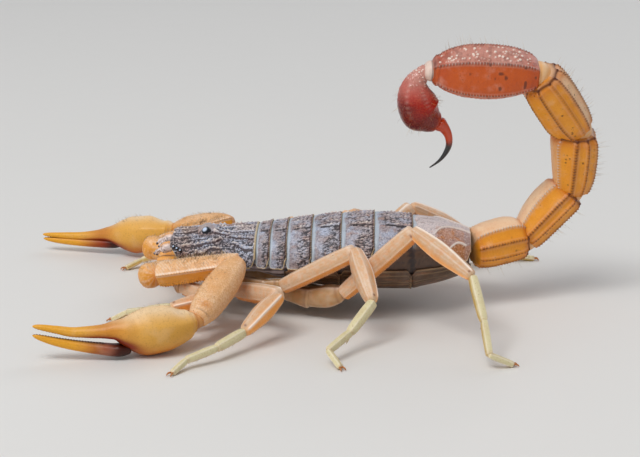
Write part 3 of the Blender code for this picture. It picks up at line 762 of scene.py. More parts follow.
def plate_finish():
    hues = looks("trunk")
    made = Finish("back_plates", Coat_Weight=0.1, Coat_Roughness=0.3, Specular_IOR_Level=0.4)
    relief = made.mask("relief")
    patches = made.noise(1.1, 2.0)
    speckle = made.noise(0.14, 4.0)
    colour = made.cover(
        hues.dark,
        (patches.step(0.38, 0.62) * 0.9, hues.blue),
        ("warm", hues.warm),
        ("lilac", hues.lilac),
        ("panel", hues.panel),
        (speckle.step(0.5, 0.75) * 0.55, hues.pale),
        (speckle.step(0.48, 0.3) * 0.5, hues.pit),
        (made.cells(0.17).step(0.26, 0.12) * speckle.step(0.4, 0.5) * 0.7, hues.pit),
        (made.mask("band") * (0.7 + patches * 0.3), hues.band),
        # The relief mask paints light and shade: dark in hollows and below ridges as painted shade, pale on
        # crests and granule tops as painted highlight.
        (relief.step(-0.08, -0.6) * 0.9, hues.pit),
        (relief.step(0.15, 0.65) * 0.85, hues.pale),
        # The comb colour: red-brown teeth, and painted shadow below the shield's ridges and by the last
        # plate's middle keels.
        (made.mask("comb") * 0.9, hues.comb),
        (made.mask("rim") * 0.9, hues.rim),
        # Dark marks: the real eye rings and side eyes, and painted shade where a plate runs in under the
        # one before.
        ("dark", hues.pit))
    rough = 0.52 - made.mask("band") * 0.14 + (speckle - 0.5) * 0.2
    return made.lay(colour, rough, speckle + patches * 0.2, depth=0.04)


def skin_finish():
    hues = looks("trunk")
    made = Finish("side_skin", Coat_Weight=0.2, Coat_Roughness=0.3)
    fold = made.mask("relief")
    grain = made.noise(0.1, 4.0)
    colour = made.cover(
        hues.skin,
        (made.noise(1.6, 2.0).step(0.35, 0.65), hues.dark),
        # Painted light and shade on the folds: crests bluish and, lower down, warm; hollows dark.
        (fold.step(0.1, 0.8) * 0.55, hues.blue),
        # Lower and rear skin in the belly colour, partly painted shade under the body.
        ("below", hues.belly),
        (fold.step(-0.1, -0.7) * 0.8, hues.pit),
        (fold.step(0.12, 0.5) * made.mask("below") * 0.3, hues.warm))
    return made.lay(colour, 0.4 + grain * 0.15, grain, depth=0.02)


def belly_finish():
    hues = looks("trunk")
    made = Finish("belly_plates", Coat_Weight=0.25, Coat_Roughness=0.25)
    grain = made.noise(0.14, 4.0)
    patches = made.noise(1.2, 2.0)
    streak = made.noise(0.6, 3.0, (0.3, 1.0, 2.2))
    colour = made.cover(
        # The belly colour, darkened as painted shade under the body.
        hues.belly,
        (patches.step(0.35, 0.7) * 0.15, hues.warm),
        (streak.step(0.5, 0.7) * 0.35, hues.panel),
        (grain.step(0.55, 0.3) * 0.35, hues.pit),
        (made.mask("rim") * 0.85, hues.line),
        # Dark marks: the breathing slits, and painted shade where a plate runs in under the one before.
        ("dark", hues.pit))
    return made.lay(colour, 0.36 + grain * 0.2, grain, depth=0.02)


# Shares of red, green and blue that are left in the deeper tone of a limb's side.
DEEPER = (0.72, 0.5, 0.35)


def limb_finish(name, top, side, dot, crest, joint, shine=0.18, hip=None):
    """Cuticle with a paler top, dotted keels, pale crests and soft skin at the joints."""
    made = Finish(name, Coat_Weight=shine, Coat_Roughness=0.3, Specular_IOR_Level=0.35)
    grain = made.noise(0.11, 4.0)
    cloud = made.noise(0.9, 3.0)
    pores = made.cells(0.42)
    deep = [c * share for c, share in zip(side, DEEPER)]
    colour = made.cover(
        side,
        # top: paler colour which the reliefs lay on upward faces as painted sky light.
        ("top", top),
        (made.mask("deep") * 0.75, deep),
        *([("hip", hip)] if hip is not None else []),
        (cloud.step(0.5, 0.8) * 0.14, crest),
        (cloud.step(0.45, 0.25) * 0.2, deep),
        (grain.step(0.5, 0.28) * 0.3, deep),
        (pores.step(0.15, 0.06) * cloud.step(0.45, 0.6) * 0.55, dot),
        (made.mask("crest") * 0.85, crest),
        (made.mask("bead") * 0.95, dot),
        ("joint", joint))
    rough = 0.42 + made.mask("top") * 0.08 + (grain - 0.5) * 0.24
    return made.lay(colour, rough, grain + cloud * 0.3, depth=0.025)


def hand_finish():
    hues = looks("arms")
    made = Finish("claw_amber", Coat_Weight=0.12, Coat_Roughness=0.25, Specular_IOR_Level=0.25)
    grain = made.noise(0.13, 4.0)
    cloud = made.noise(1.5, 2.0)
    colour = made.cover(
        hues.hand,
        ("deep", hues.hand_low),
        (made.mask("top") * (0.7 + cloud * 0.4), hues.hand_top),
        ("tip", hues.tip),
        ("root", hues.root),
        (grain.step(0.5, 0.3) * 0.16, hues.dot),
        (cloud.step(0.5, 0.75) * 0.15, hues.hand_top),
        ("bead", hues.tooth),
        ("joint", hues.joint))
    return made.lay(colour, 0.3 + grain * 0.16, grain + cloud, depth=0.015)


def bulb_finish():
    hues = looks("tail")
    made = Finish("venom_bulb", Coat_Weight=0.22, Coat_Roughness=0.12, Specular_IOR_Level=0.3)
    grain = made.noise(0.14, 4.0)
    spots = made.cells(0.42)
    colour = made.cover(
        hues.bulb,
        # deep: the bulb's underside in painted shade.
        ("deep", hues.bulb_dark),
        (grain.step(0.5, 0.75) * 0.3, hues.end_side),
        # warm: painted light on the bulb's upper part.
        ("warm", hues.end_keel),
        (spots.step(0.1, 0.04) * 0.25, hues.back),
        (made.mask("neck") * 0.8, hues.end_keel),
        (made.mask("crest") * 0.9, hues.crest),
        ("root", hues.root))
    return made.lay(colour, 0.2 + grain * 0.16, grain, depth=0.02)


def sting_finish():
    hues = looks("tail")
    made = Finish("sting", Coat_Weight=0.6, Coat_Roughness=0.08)
    grain = made.noise(0.2, 3.0)
    colour = made.blend(made.mask("tip").step(0.34, 0.5), hues.root, hues.point)
    return made.lay(colour, 0.14 + grain * 0.12, grain, depth=0.01)


def jaw_finish():
    hues = looks("head")
    made = Finish("jaws", Coat_Weight=0.3, Coat_Roughness=0.25)
    net = made.noise(0.34, 3.0, (1.0, 1.0, 0.7))
    grain = made.noise(0.1, 3.0)
    line = (net - 0.5).math("ABSOLUTE").step(0.05, 0.015)
    colour = made.cover(
        hues.jaw,
        (line * made.mask("mottle"), hues.mottle),
        (grain.step(0.5, 0.3) * 0.25, looks("arms").top),
        ("seam", looks("tail").side),
        ("tip", hues.mottle))
    return made.lay(colour, 0.32 + grain * 0.2, grain + net, depth=0.02)


def eye_finish():
    made = Finish("eyes", Coat_Weight=0.8, Coat_Roughness=0.05, Coat_IOR=1.5, Specular_IOR_Level=0.1)
    grain = made.noise(0.3, 2.0)
    colour = made.cover(
        looks("head").eye,
        (grain.step(0.3, 0.7) * 0.5, (0.012, 0.016, 0.03)),
        # Painted highlight: pale blue on the upper front of each eye.
        (made.mask("gloss") * 0.9, (0.66, 0.78, 0.98)))
    return made.lay(colour, 0.04 + grain * 0.04)


def bristle_finish(name, colour, other):
    made = Finish(name, Coat_Weight=0.2)
    mixed = made.blend(made.noise(0.6, 2.0).step(0.35, 0.65), colour, other)
    return made.lay(mixed, 0.3 + made.noise(0.4, 2.0) * 0.15)


def floor_finish():
    made = Finish("pale_floor")
    grain = made.noise(3.0, 4.0)
    base = looks("stage").floor
    return made.lay(made.blend(grain * 0.12, base, [c * 0.92 for c in base]), 0.55 + grain * 0.1)


# ---------------------------------------------------------------- shield, trunk and belly

# Ridges of the shield's right half: height, width, then a broken line of X and distance from the middle.
SHIELD_RIDGES = [
    (0.14, 0.12, [(-7.75, 0.5), (-7.2, 0.62), (-6.5, 0.58), (-5.9, 0.36)]),
    (0.12, 0.1, [(-7.6, 1.48), (-7.0, 1.62), (-6.4, 1.46), (-5.6, 1.28)]),
    (0.22, 0.13, [(-4.25, 0.62), (-4.0, 0.86), (-3.5, 1.15), (-2.85, 1.42)]),
    (0.24, 0.14, [(-2.75, 1.78), (-2.0, 2.04), (-1.3, 2.1), (-0.8, 2.25)]),
    (0.16, 0.12, [(-3.9, 0.3), (-3.4, 0.52), (-2.7, 0.8), (-1.8, 0.72), (-0.8, 0.86)]),
    (0.18, 0.12, [(-6.75, 2.58), (-6.0, 2.67), (-5.2, 2.62), (-4.6, 2.5), (-4.0, 2.42), (-3.5, 2.15)]),
    (0.14, 0.11, [(-5.6, 3.12), (-5.0, 3.24), (-4.4, 3.15), (-3.4, 3.2)]),
    (0.15, 0.12, [(-2.4, 2.75), (-1.9, 3.12), (-1.5, 3.36), (-0.8, 3.45)]),
    (0.1, 0.1, [(-6.3, 2.05), (-5.6, 2.08), (-4.9, 1.92)]),
]
# Furrows of the right half: depth, width and the same kind of line.
SHIELD_FURROWS = [
    (0.16, 0.16, [(-7.7, 0.0), (-5.6, 0.0)]),
    (0.2, 0.18, [(-3.9, 0.0), (-0.8, 0.0)]),
    (0.14, 0.16, [(-3.2, 1.7), (-2.9, 2.5), (-2.9, 3.4)]),
    (0.12, 0.16, [(-5.3, 0.95), (-4.4, 1.25), (-3.6, 1.65)]),
]
# Where the shield begins and ends along X, and how round a cut through the trunk is (1 for an ellipse).
SHIELD_ENDS = (-7.86, -0.46)
ROUNDNESS = 0.8
# Side eyes of the right side: place, and radius as a share of the largest.
SIDE_EYES = [
    (-7.5, 2.44, 5.66, 1.0), (-7.2, 2.64, 5.56, 1.0), (-6.9, 2.82, 5.46, 0.85), (-7.3, 2.72, 5.34, 0.5),
]


def on_barrel(rows, x, degrees, swell, deep=None):
    """Points and outward directions on the trunk's skin, at a turn (0 right, 90 up, 180 left)."""
    edge, wide, top, under = glide_rows(x, rows).T
    turn = np.radians(degrees)
    high = np.where(np.sin(turn) > 0, top - edge, edge - under if deep is None else deep)
    y = (wide + swell) * bent(np.cos(turn), ROUNDNESS)
    z = edge + (high + swell) * bent(np.sin(turn), ROUNDNESS)
    out = unit(np.stack([np.zeros_like(y), np.cos(turn) / wide, np.sin(turn) / high], axis=1))
    return np.stack([x, y, z], axis=1), out


def eye_distance(points):
    nearest = np.full(len(points), 9.0)
    for side in (-1, 1):
        nearest = np.minimum(nearest, np.linalg.norm(points - mirrored(EYE, side), axis=1))
    return nearest


def shield_place(share, across):
    front = SHIELD_ENDS[0] + 0.14 * (1 - np.minimum(np.abs(across) * 2.2, 1.0)) ** 2
    x = front + share * (SHIELD_ENDS[1] - front)
    limit = 100 - 20 * ease(0.9, 1.0, share) ** 2 - 24 * ease(0.15, 0.0, share) ** 2
    points, out = on_barrel(SHIELD, x, 90 - across * limit, 0.0, deep=1.5)
    side = np.abs(points[:, 1])
    shake = 0.22 * (clouds(points, 0.7, 7) - 0.5)
    hill = hump(x, EYE[0], 0.8) * ease(0.95, 0.36, side)
    plain = ease(0.55, 0.2, hill)
    lift = 0.56 * hill - 0.05 * hump(x, EYE[0], 0.6) * hump(side, 0.0, 0.13)
    keel = np.zeros_like(x)
    shade = np.zeros_like(x)
    lumps = pebbles(points, 0.25, 6)
    patchy = clouds(points, 0.4, 14)
    for height, width, line in SHIELD_RIDGES:
        away = ridge(x, side + shake, line)
        here = hump(away, 0.0, width * 0.75) * (0.3 + 0.7 * lumps)
        below = ridge(x, side + shake - width * 1.7, line)
        lift += 1.5 * height * here
        keel = np.maximum(keel, here * min(height / 0.17, 1.0))
        # The foot of each ridge is painted dark as its shadow, and sinks a little.
        foot = hump(below, 0.0, width * 0.7) * min(height / 0.2, 1.0)
        shade = np.maximum(shade, foot * (0.45 + 0.55 * patchy))
    for depth, width, line in SHIELD_FURROWS:
        lift -= depth * 0.5 * hump(ridge(x, side, line), 0.0, width)
    lift -= 0.07 * shade
    granule = looks("trunk").granule / MM
    rough = ease(0.25, 0.6, clouds(points, 0.8, 5)) * (0.55 + 0.2 * ease(-5.5, -6.8, x))
    rough = rough + 0.5 * hump(side, 3.2, 0.5)
    coarse = pebbles(points, 0.27, 3)
    fine = pebbles(points, 0.15, 4)
    lift += plain * granule * (rough * (2.2 * coarse - 0.5) * (1 - keel) + 0.8 * (fine - 0.5))
    rear = ease(0.972, 0.985, share)
    border = np.maximum(rear, ease(0.955, 0.985, np.abs(across)))
    lift = lift * (1 - rear) + 0.1 * ease(0.95, 0.98, share) * (1 - ease(0.985, 1.0, share))
    eyes = eye_distance(points + out * lift[:, None])
    near = hump(eyes, 0.0, EYE_SIZE + 0.18)
    lift = lift * (1 - 0.8 * near) + 0.1 * near - 0.22 * near * ease(0.5, 0.75, side)
    eyes = eye_distance(points + out * lift[:, None])
    brow = hump(eyes, EYE_SIZE + 0.1, 0.06)
    lift += 0.07 * brow
    away = ridge(x, points[:, 2], [(-7.52, 5.72), (-7.2, 5.58), (-6.88, 5.46)])
    spots = 0.85 * ease(0.24, 0.14, away) * ease(2.1, 2.3, side)
    # Painted light and shade: ridges, granule tops and the brow over each eye pale as lit, the foot of each
    # ridge and the gaps between granules dark as shade.
    tone = 1.8 * keel - 1.5 * shade * (1 - keel) + 0.7 * brow * ease(0.5, 0.4, side) + 0.06
    tone += plain * (0.8 * (0.35 + 0.65 * rough) * (coarse - 0.37) + 1.1 * (fine - 0.46))
    paint = {
        "relief": tone,
        "band": 0.35 * hill,
        "rim": border * 0.8,
        # This mask carries the red-brown of the painted shadow below the ridges.
        "comb": 0.45 * shade * (1 - keel),
        "warm": 0.7 * ease(0.45, 0.7, clouds(points, 1.3, 9)) + 0.35 * ease(-6.0, -7.2, x) * plain,
        "panel": 0.3 * hump(eyes, EYE_SIZE + 0.35, 0.2) + 0.4 * hump(side, 3.1, 0.5) * ease(-5.5, -7.0, x),
        "lilac": 0.6 * ease(-3.2, -2.2, x) * ease(1.2, 0.6, side),
        "dark": np.maximum(0.6 * ease(EYE_SIZE + 0.1, EYE_SIZE + 0.03, eyes), spots),
    }
    return points + out * lift[:, None], paint


def build_shield(finish):
    wall = looks("trunk").wall / MM
    piece = open_plate("back_shield", 165, 225, shield_place, wall)
    settle(piece, finish, ["carapace"])


# Back plates 1 to 7: side keels' distance from the middle, width of the smooth fore band, reach in degrees.
KEEL_PLACES = (1.05, 1.25, 1.5, 1.7, 1.8, 1.75, 2.0)
BAND_WIDTHS = (0.18, 0.24, 0.3, 0.32, 0.38, 0.4, 0.34)
# Keels of the last back plate along X: the upper by its distance from the middle, the lower by its height.
ARCH = [(14.6, 2.6), (14.9, 2.05), (15.3, 1.5), (16.0, 1.0), (16.6, 0.8), (17.7, 0.68)]
LOW_ARCH = [(15.85, 5.9), (16.1, 6.12), (16.4, 6.26), (16.65, 6.28), (16.95, 6.2), (17.3, 5.98)]
REACHES = (99, 99, 98, 93, 87, 84, 96)
# How far each plate runs in under the one before it.
PLATE_LAP = 0.14


def back_plate_place(number):
    last = number == 7
    start, stop = RING_EDGES[number - 1], RING_EDGES[number] + (0.0 if last else 0.08)
    long = stop - start
    band_width, keel_place, reach = BAND_WIDTHS[number - 1], KEEL_PLACES[number - 1], REACHES[number - 1]
    strong = looks("trunk").granule / MM
    bold = 0.15 if last else 1.0

    def place(share, across):
        far = np.abs(across)
        x = start - PLATE_LAP + share * (stop + 0.02 - start + PLATE_LAP)
        run = x - start
        hem = 0.0
        if last:
            hem = (1 - ease(0.3, 3.2, run)) * 42
        elif number == 6:
            hem = ease(0.8, 3.0, run) * 26
        limit = reach - hem - 17 * ease(long - 0.45, long, run) ** 2 - 9 * ease(0.3, 0.0, run) ** 2
        degrees = 90 - across * limit
        points, out = on_barrel(TRUNK, x, degrees, 0.05 - 0.17 * ease(0.3, -0.1, run))
        side = np.abs(points[:, 1])
        wobble = clouds(points, 0.7, number)
        ragged = 0.1 * (clouds(points, 0.35, number + 7) - 0.5)
        edge = band_width * (1 + 0.25 * hump(far, 0.45, 0.28) - 0.25 * hump(across, 0.0, 0.12)) + ragged
        band = ease(edge + 0.06, edge - 0.03, run)
        hollow = 0.42 * (long - band_width) * ease(keel_place + 0.15, keel_place + 0.6, side)
        hollow = hollow * (1 - 0.5 * ease(keel_place + 1.2, keel_place + 2.2, side))
        field = ease(edge + hollow, edge + hollow + 0.16 * long + 0.1, run + ragged)
        lift = -0.03 * band - 0.06 * hump(run, edge + 0.05, 0.05)
        streak = pebbles(points / np.array((2.5, 1.0, 1.0)), 0.15, number + 20)
        grain = pebbles(points, 0.14, number + 40)
        lift += strong * bold * field * (2.3 * streak * (0.6 + 0.6 * wobble) - 0.7)
        lift += strong * 0.55 * (1 - band) * (grain - 0.5)

        rise = ease(edge, edge + 0.3 * (long - edge), run) * ease(long, long - 0.1, run)
        panel = lilac = blots = 0.0 * x
        if last:
            arch = glide_rows(x, ARCH)[:, 0]
            keels = 1.5 * hump(side, arch, 0.14) * ease(14.5, 14.8, x)
            keels += 1.1 * hump(ridge(x, points[:, 2], LOW_ARCH), 0.0, 0.09) * ease(1.5, 1.8, side)
            keels += 0.6 * hump(side, 0.85, 0.1) * ease(2.6, 0.8, run)
            keels = np.minimum(keels, 1.5) * ease(edge, edge + 0.3, run)
            beaded = 1.0
            lift += 0.09 * keels
            # A painted shadow just outside the keel arch.
            shade = rise * hump(side, arch + 0.16, 0.07) * ease(14.5, 14.9, x)
            under = ease(arch + 0.08, arch + 0.18, side) * ease(14.5, 15.0, x)
            below = ease(0.02, -0.1, points[:, 2] - glide_rows(x, LOW_ARCH)[:, 0]) * ease(15.6, 16.1, x)
            panel = under * (0.5 + 0.3 * wobble) * (1 - 0.5 * ease(long - 0.7, long - 0.45, run))
            panel = panel + 0.45 * under * below
            lilac = (1 - under) * (0.75 + 0.25 * wobble)
            # Dark blotches by the middle keels, painted as their shade.
            blots = hump(x, 13.9, 0.7) * hump(side, 0.9, 0.5)
            blots = blots * ease(0.5, 0.7, clouds(points / np.array((2.4, 1, 1)), 0.3, 95))
        else:
            curve = keel_place + 0.55 * (1 - held(run / long)) ** 2
            keels = hump(side, 0.0, 0.09) * 0.9 + hump(side, curve, 0.09)
            keels += 0.6 * hump(side, 0.55 * keel_place, 0.08) * ease(0.45 * long, 0.7 * long, run)
            keels = np.minimum(keels, 1.2) * rise
            beaded = 0.5 + 0.5 * beads(run, 0.3, number * 0.3)
            lift += 0.17 * keels * beaded
            # A painted shadow just outside the side keel.
            shade = rise * hump(side, keel_place + 0.3, 0.1)
        lift -= 0.07 * shade

        rear = ease(long - 0.2, long - 0.1, run)
        tooth = beads(np.radians(degrees) * 3.9, 0.29, 0.2 * number)
        teeth = rear * (not last) * ease(0.985, 0.94, far)
        lift += teeth * (0.12 * tooth - 0.03)
        lift += 0.07 * hump(far, 0.985, 0.012) * ease(-0.05, 0.1, run)
        side_rim = ease(0.968, 0.985, far) * ease(0.0, 0.1, run)
        rear_rim = ease(long - 0.05, long - 0.01, run) * 0.5
        # Painted light and shade: keels and granule tops pale as lit, keel shadows and the gaps between
        # comb teeth dark as shade.
        tone = 1.15 * field * bold * (streak * (0.6 + 0.5 * wobble) - 0.3) + 0.55 * bold * (grain - 0.45)
        tone = tone + 0.9 * keels * beaded - (0.5 if last else 0.85) * shade - 0.7 * teeth * (1 - tooth)
        paint = {
            "relief": (1 - band) * tone,
            "band": band,
            "rim": np.maximum(side_rim, rear_rim),
            "comb": teeth * (0.75 - 0.35 * tooth) * (0.7 + 0.3 * wobble) + 0.8 * blots,
            "warm": 0.3 * (1 - band) * ease(0.35, 0.75, wobble) + 0.25 * field,
            "panel": panel + 0.35 * ease(0.72, 0.9, clouds(points, 0.45, number + 90)) * (1 - band),
            "lilac": lilac,
            # Painted shade on the front strip that runs in under the plate before.
            "dark": (0.35 if last else 0.75) * ease(0.05, -0.12, run),
        }
        return points + out * lift[:, None], paint
    return place


def build_back_plates(finish):
    wall = looks("trunk").wall / MM
    for number in range(1, 8):
        long = RING_EDGES[number] - RING_EDGES[number - 1]
        piece = open_plate(f"back_plate_{number}", int(6 + long * 18), 230, back_plate_place(number), wall)
        settle(piece, finish, [f"body_ring_{number}"])


def build_belly_plates(finish):
    wall = looks("trunk").wall / MM
    for number in range(3, 8):
        start, stop = RING_EDGES[number - 1], RING_EDGES[number]
        long = stop - start

        def place(share, across):
            far = np.abs(across)
            x = start - 0.12 + share * (long + 0.14)
            run = x - start
            limit = 84 - 9 * ease(long - 0.5, long, run) ** 2 - 8 * ease(0.4, 0.0, run)
            swell = 0.03 - 0.12 * ease(0.25, -0.1, run)
            points, out = on_barrel(TRUNK, x, 270 - across * limit, swell)
            wobble = clouds(points, 0.8, number + 60)
            lift = 0.02 * pebbles(points, 0.2, number + 70) * wobble
            rear = ease(long - 0.16, long - 0.06, run)
            side_rim = ease(0.955, 0.98, far)
            lift += 0.05 * np.maximum(rear, side_rim)
            creases = sum(hump(far + 0.02 * wobble, crease, 0.01) for crease in (0.9, 0.74, 0.66, 0.52))
            creases = creases * ease(0.1, 0.4, run) * (0.3 + 0.7 * wobble)
            lift -= 0.03 * creases
            slit = hump(far, 0.46, 0.03) * hump(run, long * 0.55, 0.12 * long) * (number < 7)
            lift -= 0.12 * slit
            furrow = hump(far, 0.3, 0.02) * ease(0.2, 0.6, run) * ease(long - 0.2, long - 0.5, run)
            lift -= 0.05 * furrow
            frayed = np.maximum(rear * 0.4 * wobble, 0.7 * side_rim * wobble)
            paint = {
                "rim": frayed + 0.3 * furrow + 0.6 * creases,
                # The breathing slits, and painted shade on the front strip that runs in under the plate
                # before.
                "dark": slit + 0.5 * ease(0.05, -0.1, run),
            }
            return points + out * lift[:, None], paint
        piece = open_plate(f"belly_plate_{number}", int(5 + long * 10), 110, place, wall)
        settle(piece, finish)


def build_flesh(finish):
    """The soft skin under shield and plates, in one piece from the mouth to the tail."""
    stations = [(-7.5, 0, 4.5), (-7.0, 0, 4.45), (-4.0, 0, 4.3), (-0.6, 0, 4.6)]
    girths = [(1.8, 1.2, 1.0), (2.3, 1.55, 1.1), (3.05, 1.95, 1.0), (3.7, 1.9, 1.1)]
    for x, edge, wide, top, under in TRUNK[1:]:
        stations.append((x, 0, edge))
        girths.append((wide - 0.15, top - edge - 0.24, edge - under - 0.13))
    line = Line(stations, girths, ACROSS)

    def relief(spot):
        z = spot.points[:, 2] + 0.35 * clouds(spot.points / np.array((2.2, 1.0, 1.0)), 0.9, 11)
        x = spot.points[:, 0]
        fold = beads(z, 0.42)
        lens = sum(hump(x, middle, 0.22) for middle in RING_EDGES[1:7])
        rear = ease(3.5, 6.5, x)
        grain = spot.pebbles(0.17, 13)
        lift = 0.07 * fold * (1 - 0.8 * rear) - 0.08 * lens + 0.025 * grain
        # Painted light and shade: fold crests pale as lit, fold hollows and the strips under the plates'
        # edges dark as shade.
        tone = (1 - 0.85 * rear) * (1.5 * fold - 0.75) + 0.7 * rear * (grain - 0.45) - 0.6 * lens
        # below: the belly's darker olive brown on the rear and lower skin, partly painted shade under the
        # body.
        below = np.maximum(0.95 * rear, ease(3.4, 2.7, z) * ease(0.5, 2.5, x))
        return lift, {"relief": tone, "below": below}

    piece = limb("body_flesh", line, relief, around=150, rings=230, corners=(0, 90, 180, 270), sag=0.0,
                 power=0.8)
    settle(piece, finish, ["prosoma_underside"])


def build_combs(finish):
    for side, label in SIDES:
        stations = [mirrored(point, side) for point in COMB]
        line = Line(stations, [(0.26, 0.14), (0.44, 0.17), (0.42, 0.16), (0.2, 0.13)],
                    level_side(stations[-1] - stations[0]))
        pieces = [limb("comb_" + label, line, plain_relief, around=40, rings=50, side=side)]
        ahead = unit(stations[-1] - stations[0])
        rear = np.array((1.0, 0.0, -0.12))
        for number in range(COMB_TEETH):
            root = between(stations[0], stations[-1], 0.06 + number * COMB_PITCH) + rear * 0.3
            tooth = Line([root, root + rear * 0.26 + ahead * 0.05, root + rear * 0.52 + ahead * 0.12],
                         [(0.05, 0.06), (0.055, 0.07), (0.04, 0.05)], ahead)
            name = f"comb_tooth_{label}_{number}"
            pieces.append(limb(name, tooth, plain_relief, around=8, rings=8, cap=0.08))
        settle(joined("comb_" + label, pieces), finish, ["pecten_" + label])


def plain_relief(spot):
    rough = spot.clouds(0.2, 2)
    # top: the upper half painted pale as sky light.
    return 0.015 * rough, {"top": spot.turned(200, 160), "crest": 0.2 * rough}


# ---------------------------------------------------------------- head

def build_eyes(finish):
    for side, label in SIDES:
        at = mirrored(np.add(EYE, EYE_STANDS), side)
        piece = eye_ball("middle_eye_" + label, at, EYE_SHOWN, 48)
        settle(piece, finish, ["median_eye_" + label])
        lens = looks("head").lens / MM
        row = [
            eye_ball(f"side_eye_{label}_{number}", mirrored(spot[:3], side), lens * spot[3], 24)
            for number, spot in enumerate(SIDE_EYES)
        ]
        settle(joined("side_eyes_" + label, row), finish)


def eye_ball(name, at, radius, around):
    """A lens: a ball that bulges a little more at its middle, with a painted highlight mask on its upper
    front.
    """
    outward = unit(at - np.array((at[0], at[1] * 0.1, at[2] - 0.4)))

    def place(share, turn):
        level = -np.cos(share * math.pi)
        ring = np.sin(share * math.pi)
        ball = np.stack([ring * np.cos(turn), ring * np.sin(turn), level], axis=1)
        bulge = 1 + 0.05 * np.maximum(ball @ outward, 0.0) ** 3
        # A pale patch on the upper front of the ball, painted as the eye's highlight.
        gloss = unit(np.array((-0.4, 0.58 * np.sign(at[1]), 0.74)))
        return at + ball * (radius * bulge)[:, None], {"gloss": ease(0.82, 0.97, ball @ gloss)}
    return closed_skin(name, around, around // 2, place)


def build_jaws(finish):
    for side, label in SIDES:
        rise = UP * JAW_RISE[label]
        base = Line([mirrored(row[:3], side) + rise for row in JAW], [row[3:] for row in JAW], ACROSS)

        def base_relief(spot):
            rough = spot.clouds(0.3, 8)
            row = spot.keel(0.1) * beads(spot.run, 0.2)
            spots = ease(0.62, 0.72, spot.pebbles(0.26, 9, fill=0.5)) * ease(0.35, 0.6, spot.share)
            return 0.05 * rough + 0.05 * row, {
                "mottle": 0.2 + 0.8 * ease(0.4, 0.8, spot.share),
                "seam": 0.9 * spot.facing(270, 40),
                "tip": held(0.6 * row * ease(0.4, 0.7, spot.share) + 0.8 * spots),
            }

        pieces = [limb("jaw_base_" + label, base, base_relief, around=64, rings=50, side=side, sag=0.02,
                       cap=0.2)]
        for name, start, middle, tip, girth in JAW_FINGERS:
            finger = Line([mirrored(p, side) + rise for p in (start, middle, tip)],
                          [girth, girth * 0.75, 0.07], ACROSS, supple=True)

            def finger_relief(spot):
                tooth = beads(spot.run, 0.28) * spot.facing(90 if name == "inner" else 270, 40)
                return 0.05 * tooth, {"mottle": 0.6 + 0 * spot.run, "tip": ease(0.72, 0.88, spot.share)}

            pieces.append(limb(f"jaw_{name}_{label}", finger, finger_relief, around=32, rings=40, side=side,
                               cap=0.1))
        settle(joined("jaw_" + label, pieces), finish, ["chelicera_" + label])


# ---------------------------------------------------------------- claw arms

def arm_joints(side, label):
    points = [mirrored(ARM_START[label], side)]
    for length, (yaw, pitch) in zip(ARM_LENGTHS, ARM_POSE[label]):
        points.append(points[-1] + direction(side, yaw, pitch) * length)
    return points


def hand_line(joints, rows, spread, slim):
    """The centre line of the hand or of a finger, shifted up in the plane of the fingers."""
    _, _, wrist, palm, tip = joints
    hand, finger = unit(palm - wrist), unit(tip - palm)
    reach = np.linalg.norm(palm - wrist)
    stations = []
    for place, lift, *_ in rows:
        inner = wrist + hand * min(place, reach) + finger * max(place - reach, 0.0)
        smooth = unit(between(hand, finger, min(max((place - reach + 1.6) / 3.2, 0.0), 1.0)))
        stations.append(inner + unit(UP - smooth * smooth[2]) * lift * spread)
    return Line(stations, [[girth * slim for girth in row[2:]] for row in rows], level_side(palm - wrist))


def knuckle_relief(spot):
    rough = spot.pebbles(0.2, 31)
    spokes = ease(0.3, 0.9, beads(spot.degrees + 14 * spot.clouds(0.5, 30), 31))
    spokes = spokes * ease(0.35, 0.7, spot.share)
    lift = 0.03 * rough + 0.02 * spokes
    # top: the upper faces painted pale as sky light.
    return lift, {"top": 0.45 * spot.turned(10, 80) * spot.turned(190, 120) + 0.25 * spokes,
                  "crest": 0.25 * rough + 0.15 * spokes, "bead": 0.15 * (1 - rough),
                  "deep": 0.4 * spot.facing(270, 70)}


def femur_relief(spot):
    upper = spot.turned(FEMUR_KEELS[0] - 4, FEMUR_KEELS[0] + 4)
    upper = upper * spot.turned(FEMUR_KEELS[1] + 4, FEMUR_KEELS[1] - 4)
    sharp = spot.keel(0.08)
    row = beads(spot.run, 0.24, spot.near * 0.37)
    low = spot.near >= 2
    grain = spot.pebbles(0.17, 32)
    fine = spot.pebbles(0.1, 33)
    hatch = beads(spot.run * 0.8 + spot.turn * 0.5, 0.21) * ease(0.3, 0.6, spot.clouds(0.3, 36))
    ends = spot.ends(0.35, 0.4)
    near_low = spot.keel(0.36) * low
    lift = ends * sharp * (0.05 + 0.05 * row)
    lift += ends * near_low * 0.1 * grain + upper * 0.03 * hatch + 0.012 * fine
    bead = ends * sharp * ease(0.45, 0.9, row) * (0.3 + 0.6 * low)
    bead = bead + ends * near_low * ease(0.3, 0.8, grain) * 0.85
    collar = spot.short(0.55, 0.16) + spot.along(0.45, 0.14)
    lift -= 0.03 * collar
    return lift, {
        # top: the upper faces painted pale as sky light.
        "top": upper * (0.8 + 0.2 * fine),
        "deep": 0.25 * spot.turned(300, 275) * spot.turned(200, 240) + 0.25 * upper * (1 - hatch),
        "crest": 0.55 * ends * hump(spot.away, 0.1, 0.07) * (spot.near < 2) + 0.35 * upper * hatch,
        "bead": held(bead),
        "joint": 0.35 * spot.short(0.1, 0.2),
    }


